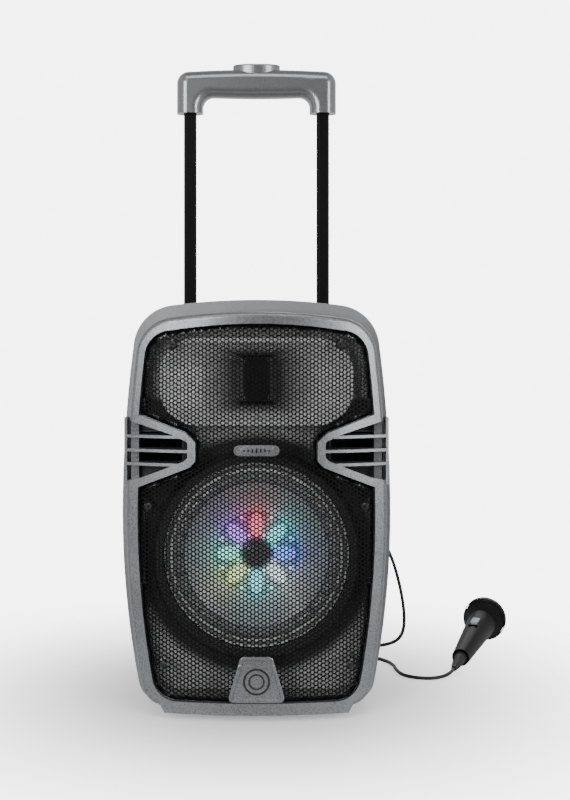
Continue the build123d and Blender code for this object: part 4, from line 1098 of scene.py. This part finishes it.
def add_prints():
    """Scale dots round the knobs, marks on the buttons, and the lit display."""
    dots = bmesh.new()
    for _, x in KNOBS:
        for step in range(11):
            turn = math.radians(240 - 30 * step)
            dot_r = 0.45 + 0.04 * step
            spot = ellipse(12 * math.cos(turn), 12 * math.sin(turn), dot_r, dot_r, steps=12)
            prism(dots, spot, on_back(x, PANEL_Y, KNOB_Z), -0.2, 0.08)
    add_piece("panel_scales", dots, "cabinet", PRINT)

    def mark(node, x, outlines):
        shape = bmesh.new()
        for outline in outlines:
            prism(shape, outline, on_back(x, BUTTON_Y, BUTTON_Z), -0.2, 0.1)
        add_piece(f"{node}_mark", shape, node, PRINT)

    def arrow(x, way):
        return [(x - 1.2 * way, -1.5), (x + 1.3 * way, 0), (x - 1.2 * way, 1.5)]

    mark("mode_button", -33, [bar(0, 1.2, 3.6, 0.6), bar(0, 0, 3.6, 0.6), bar(0, -1.2, 3.6, 0.6)])
    mark("previous_button", -11, [arrow(1.2, -1), arrow(-1.0, -1), bar(-2.6, 0, 0.5, 3)])
    mark("play_button", 11, [arrow(-1.2, 1), bar(1.0, 0, 0.6, 3), bar(2.2, 0, 0.6, 3)])
    mark("next_button", 33, [arrow(-1.2, 1), arrow(1.0, 1), bar(2.6, 0, 0.5, 3)])

    lit = moulded("display_light", (0.1, 0.4, 0.5), (0.12, 0.45, 0.55), 0.4)
    shader_of(lit).inputs["Emission Color"].default_value = (0.15, 0.75, 1.0, 1)
    shader_of(lit).inputs["Emission Strength"].default_value = 1.6
    digits = bmesh.new()
    place = on_back(0, DISPLAY_Y, DISPLAY_Z)
    for x in DIGITS_X:
        for left, up, wide, high in SEGMENTS:
            prism(digits, bar(x + left, up, wide, high), place, -0.1, 0.06)
    for up in (-1.6, 1.6):
        prism(digits, ellipse(-2, up, 0.5, 0.5, steps=12), place, -0.1, 0.06)
    for step in range(6):
        prism(digits, bar(16 + 2 * step, -3.6 + 0.55 * (1 + step), 1.2, 1.1 * (1 + step)), place, -0.1, 0.06)
    add_piece("display_digits", digits, "cabinet", lit)


add_knobs()
add_prints()

# ---------------------------------------------------------------- release spring
SPRING_LOW, SPRING_HIGH = 656.3, 664.2
SPRING_TURNS = 4.5
WIRE_R = 0.45


def add_spring():
    """A coil of wire, swept as a mesh."""
    shape = bmesh.new()
    rings = []
    steps = int(SPRING_TURNS * 24)
    for step in range(steps + 1):
        turn = 2 * math.pi * step / 24
        centre = Vector((3.5 * math.cos(turn), 104 + 3.5 * math.sin(turn), 0))
        centre.z = SPRING_LOW + WIRE_R + (SPRING_HIGH - SPRING_LOW - 2 * WIRE_R) * step / steps
        outward = Vector((math.cos(turn), math.sin(turn), 0))
        ring = []
        for corner in range(8):
            angle = 2 * math.pi * corner / 8
            offset = outward * math.cos(angle) + Vector((0, 0, 1)) * math.sin(angle)
            ring.append(shape.verts.new((centre + offset * WIRE_R) * MM))
        rings.append(ring)
    skin(shape, rings)
    spring = add_piece("spring_coil", shape, "handle", SLOT_OF["release_spring"], smooth=True)
    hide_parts("release_spring")
    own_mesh(spring)


add_spring()

# ---------------------------------------------------------------- microphone
MIC_SIDE = Vector((math.sin(MIC_TURN), -math.cos(MIC_TURN), 0))
MIC_UP = MIC_SIDE.cross(MIC_AXIS)
MIC_FRAME = axes(MIC_UP, MIC_SIDE, MIC_AXIS, MIC_TAIL / MM)
HEAD_CENTRE, HEAD_R = 178.0, 24.6


def head_profile(shrink, rings):
    """The head's (distance, radius) profile, from its collar to its tip."""
    collar = [(155.4 + 2.0 * step, 17.0 - shrink + 0.94 * step) for step in range(9)]
    dome = []
    for step in range(rings + 1):
        angle = math.radians(-4 + 92.5 * step / rings)
        dome.append((HEAD_CENTRE + (HEAD_R - shrink) * math.sin(angle), (HEAD_R - shrink) * math.cos(angle)))
    return collar + dome


def add_head():
    """The woven wire head over dark foam."""
    shape = bmesh.new()
    lathe(shape, head_profile(0.3, 22), MIC_FRAME, 80)
    wires = add_piece("head_wires", shape, "cabinet", "mesh_steel")
    thread = wires.modifiers.new("wires", "WIREFRAME")
    thread.thickness = 0.75 * MM
    thread.use_even_offset = False
    apply_modifiers(wires)
    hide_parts("mic_head")
    core = bmesh.new()
    lathe(core, head_profile(1.5, 14), MIC_FRAME, 48)
    add_piece("head_foam", core, "cabinet", "rubber_black", smooth=True)


def add_switch_details():
    """Ribs on the slide and a light bezel round its slot."""
    ribs = bmesh.new()
    for step in range(7):
        spot = Matrix.Translation((0, 0, 120.75 - 5.4 + 1.8 * step))
        prism(ribs, [(16.3, -3.4), (16.3, 3.4), (16.75, 3.4), (16.75, -3.4)], MIC_FRAME @ spot, -0.35, 0.35)
    add_piece("switch_ribs", ribs, "mic_switch", "switch_grey")
    bezel = bmesh.new()
    for low, high, left, right in ((106.6, 107.6, -5.6, 5.6), (128.4, 129.4, -5.6, 5.6)):
        prism(bezel, [(13.0, left), (13.0, right), (15.3, right), (15.3, left)], MIC_FRAME, low, high)
    for left, right in ((-5.6, -4.5), (4.5, 5.6)):
        prism(bezel, [(13.0, left), (13.0, right), (15.3, right), (15.3, left)], MIC_FRAME, 107.6, 128.4)
    add_piece("switch_bezel", bezel, "cabinet", "mic_black")


def add_relief_grooves():
    """Grooves round the strain relief, as dark rings proud of its sleeve."""
    shape = bmesh.new()
    for step in range(7):
        near = 6 + 4 * step
        radius = 3.2 + 4.0 * near / 36
        lathe(shape, [(near, radius - 0.3), (near + 0.4, radius + 0.45), (near + 1.8, radius + 0.55),
                      (near + 2.2, radius - 0.1)], MIC_FRAME, 36)
    add_piece("relief_rings", shape, "cabinet", "rubber_black")


add_head()
add_switch_details()
add_relief_grooves()
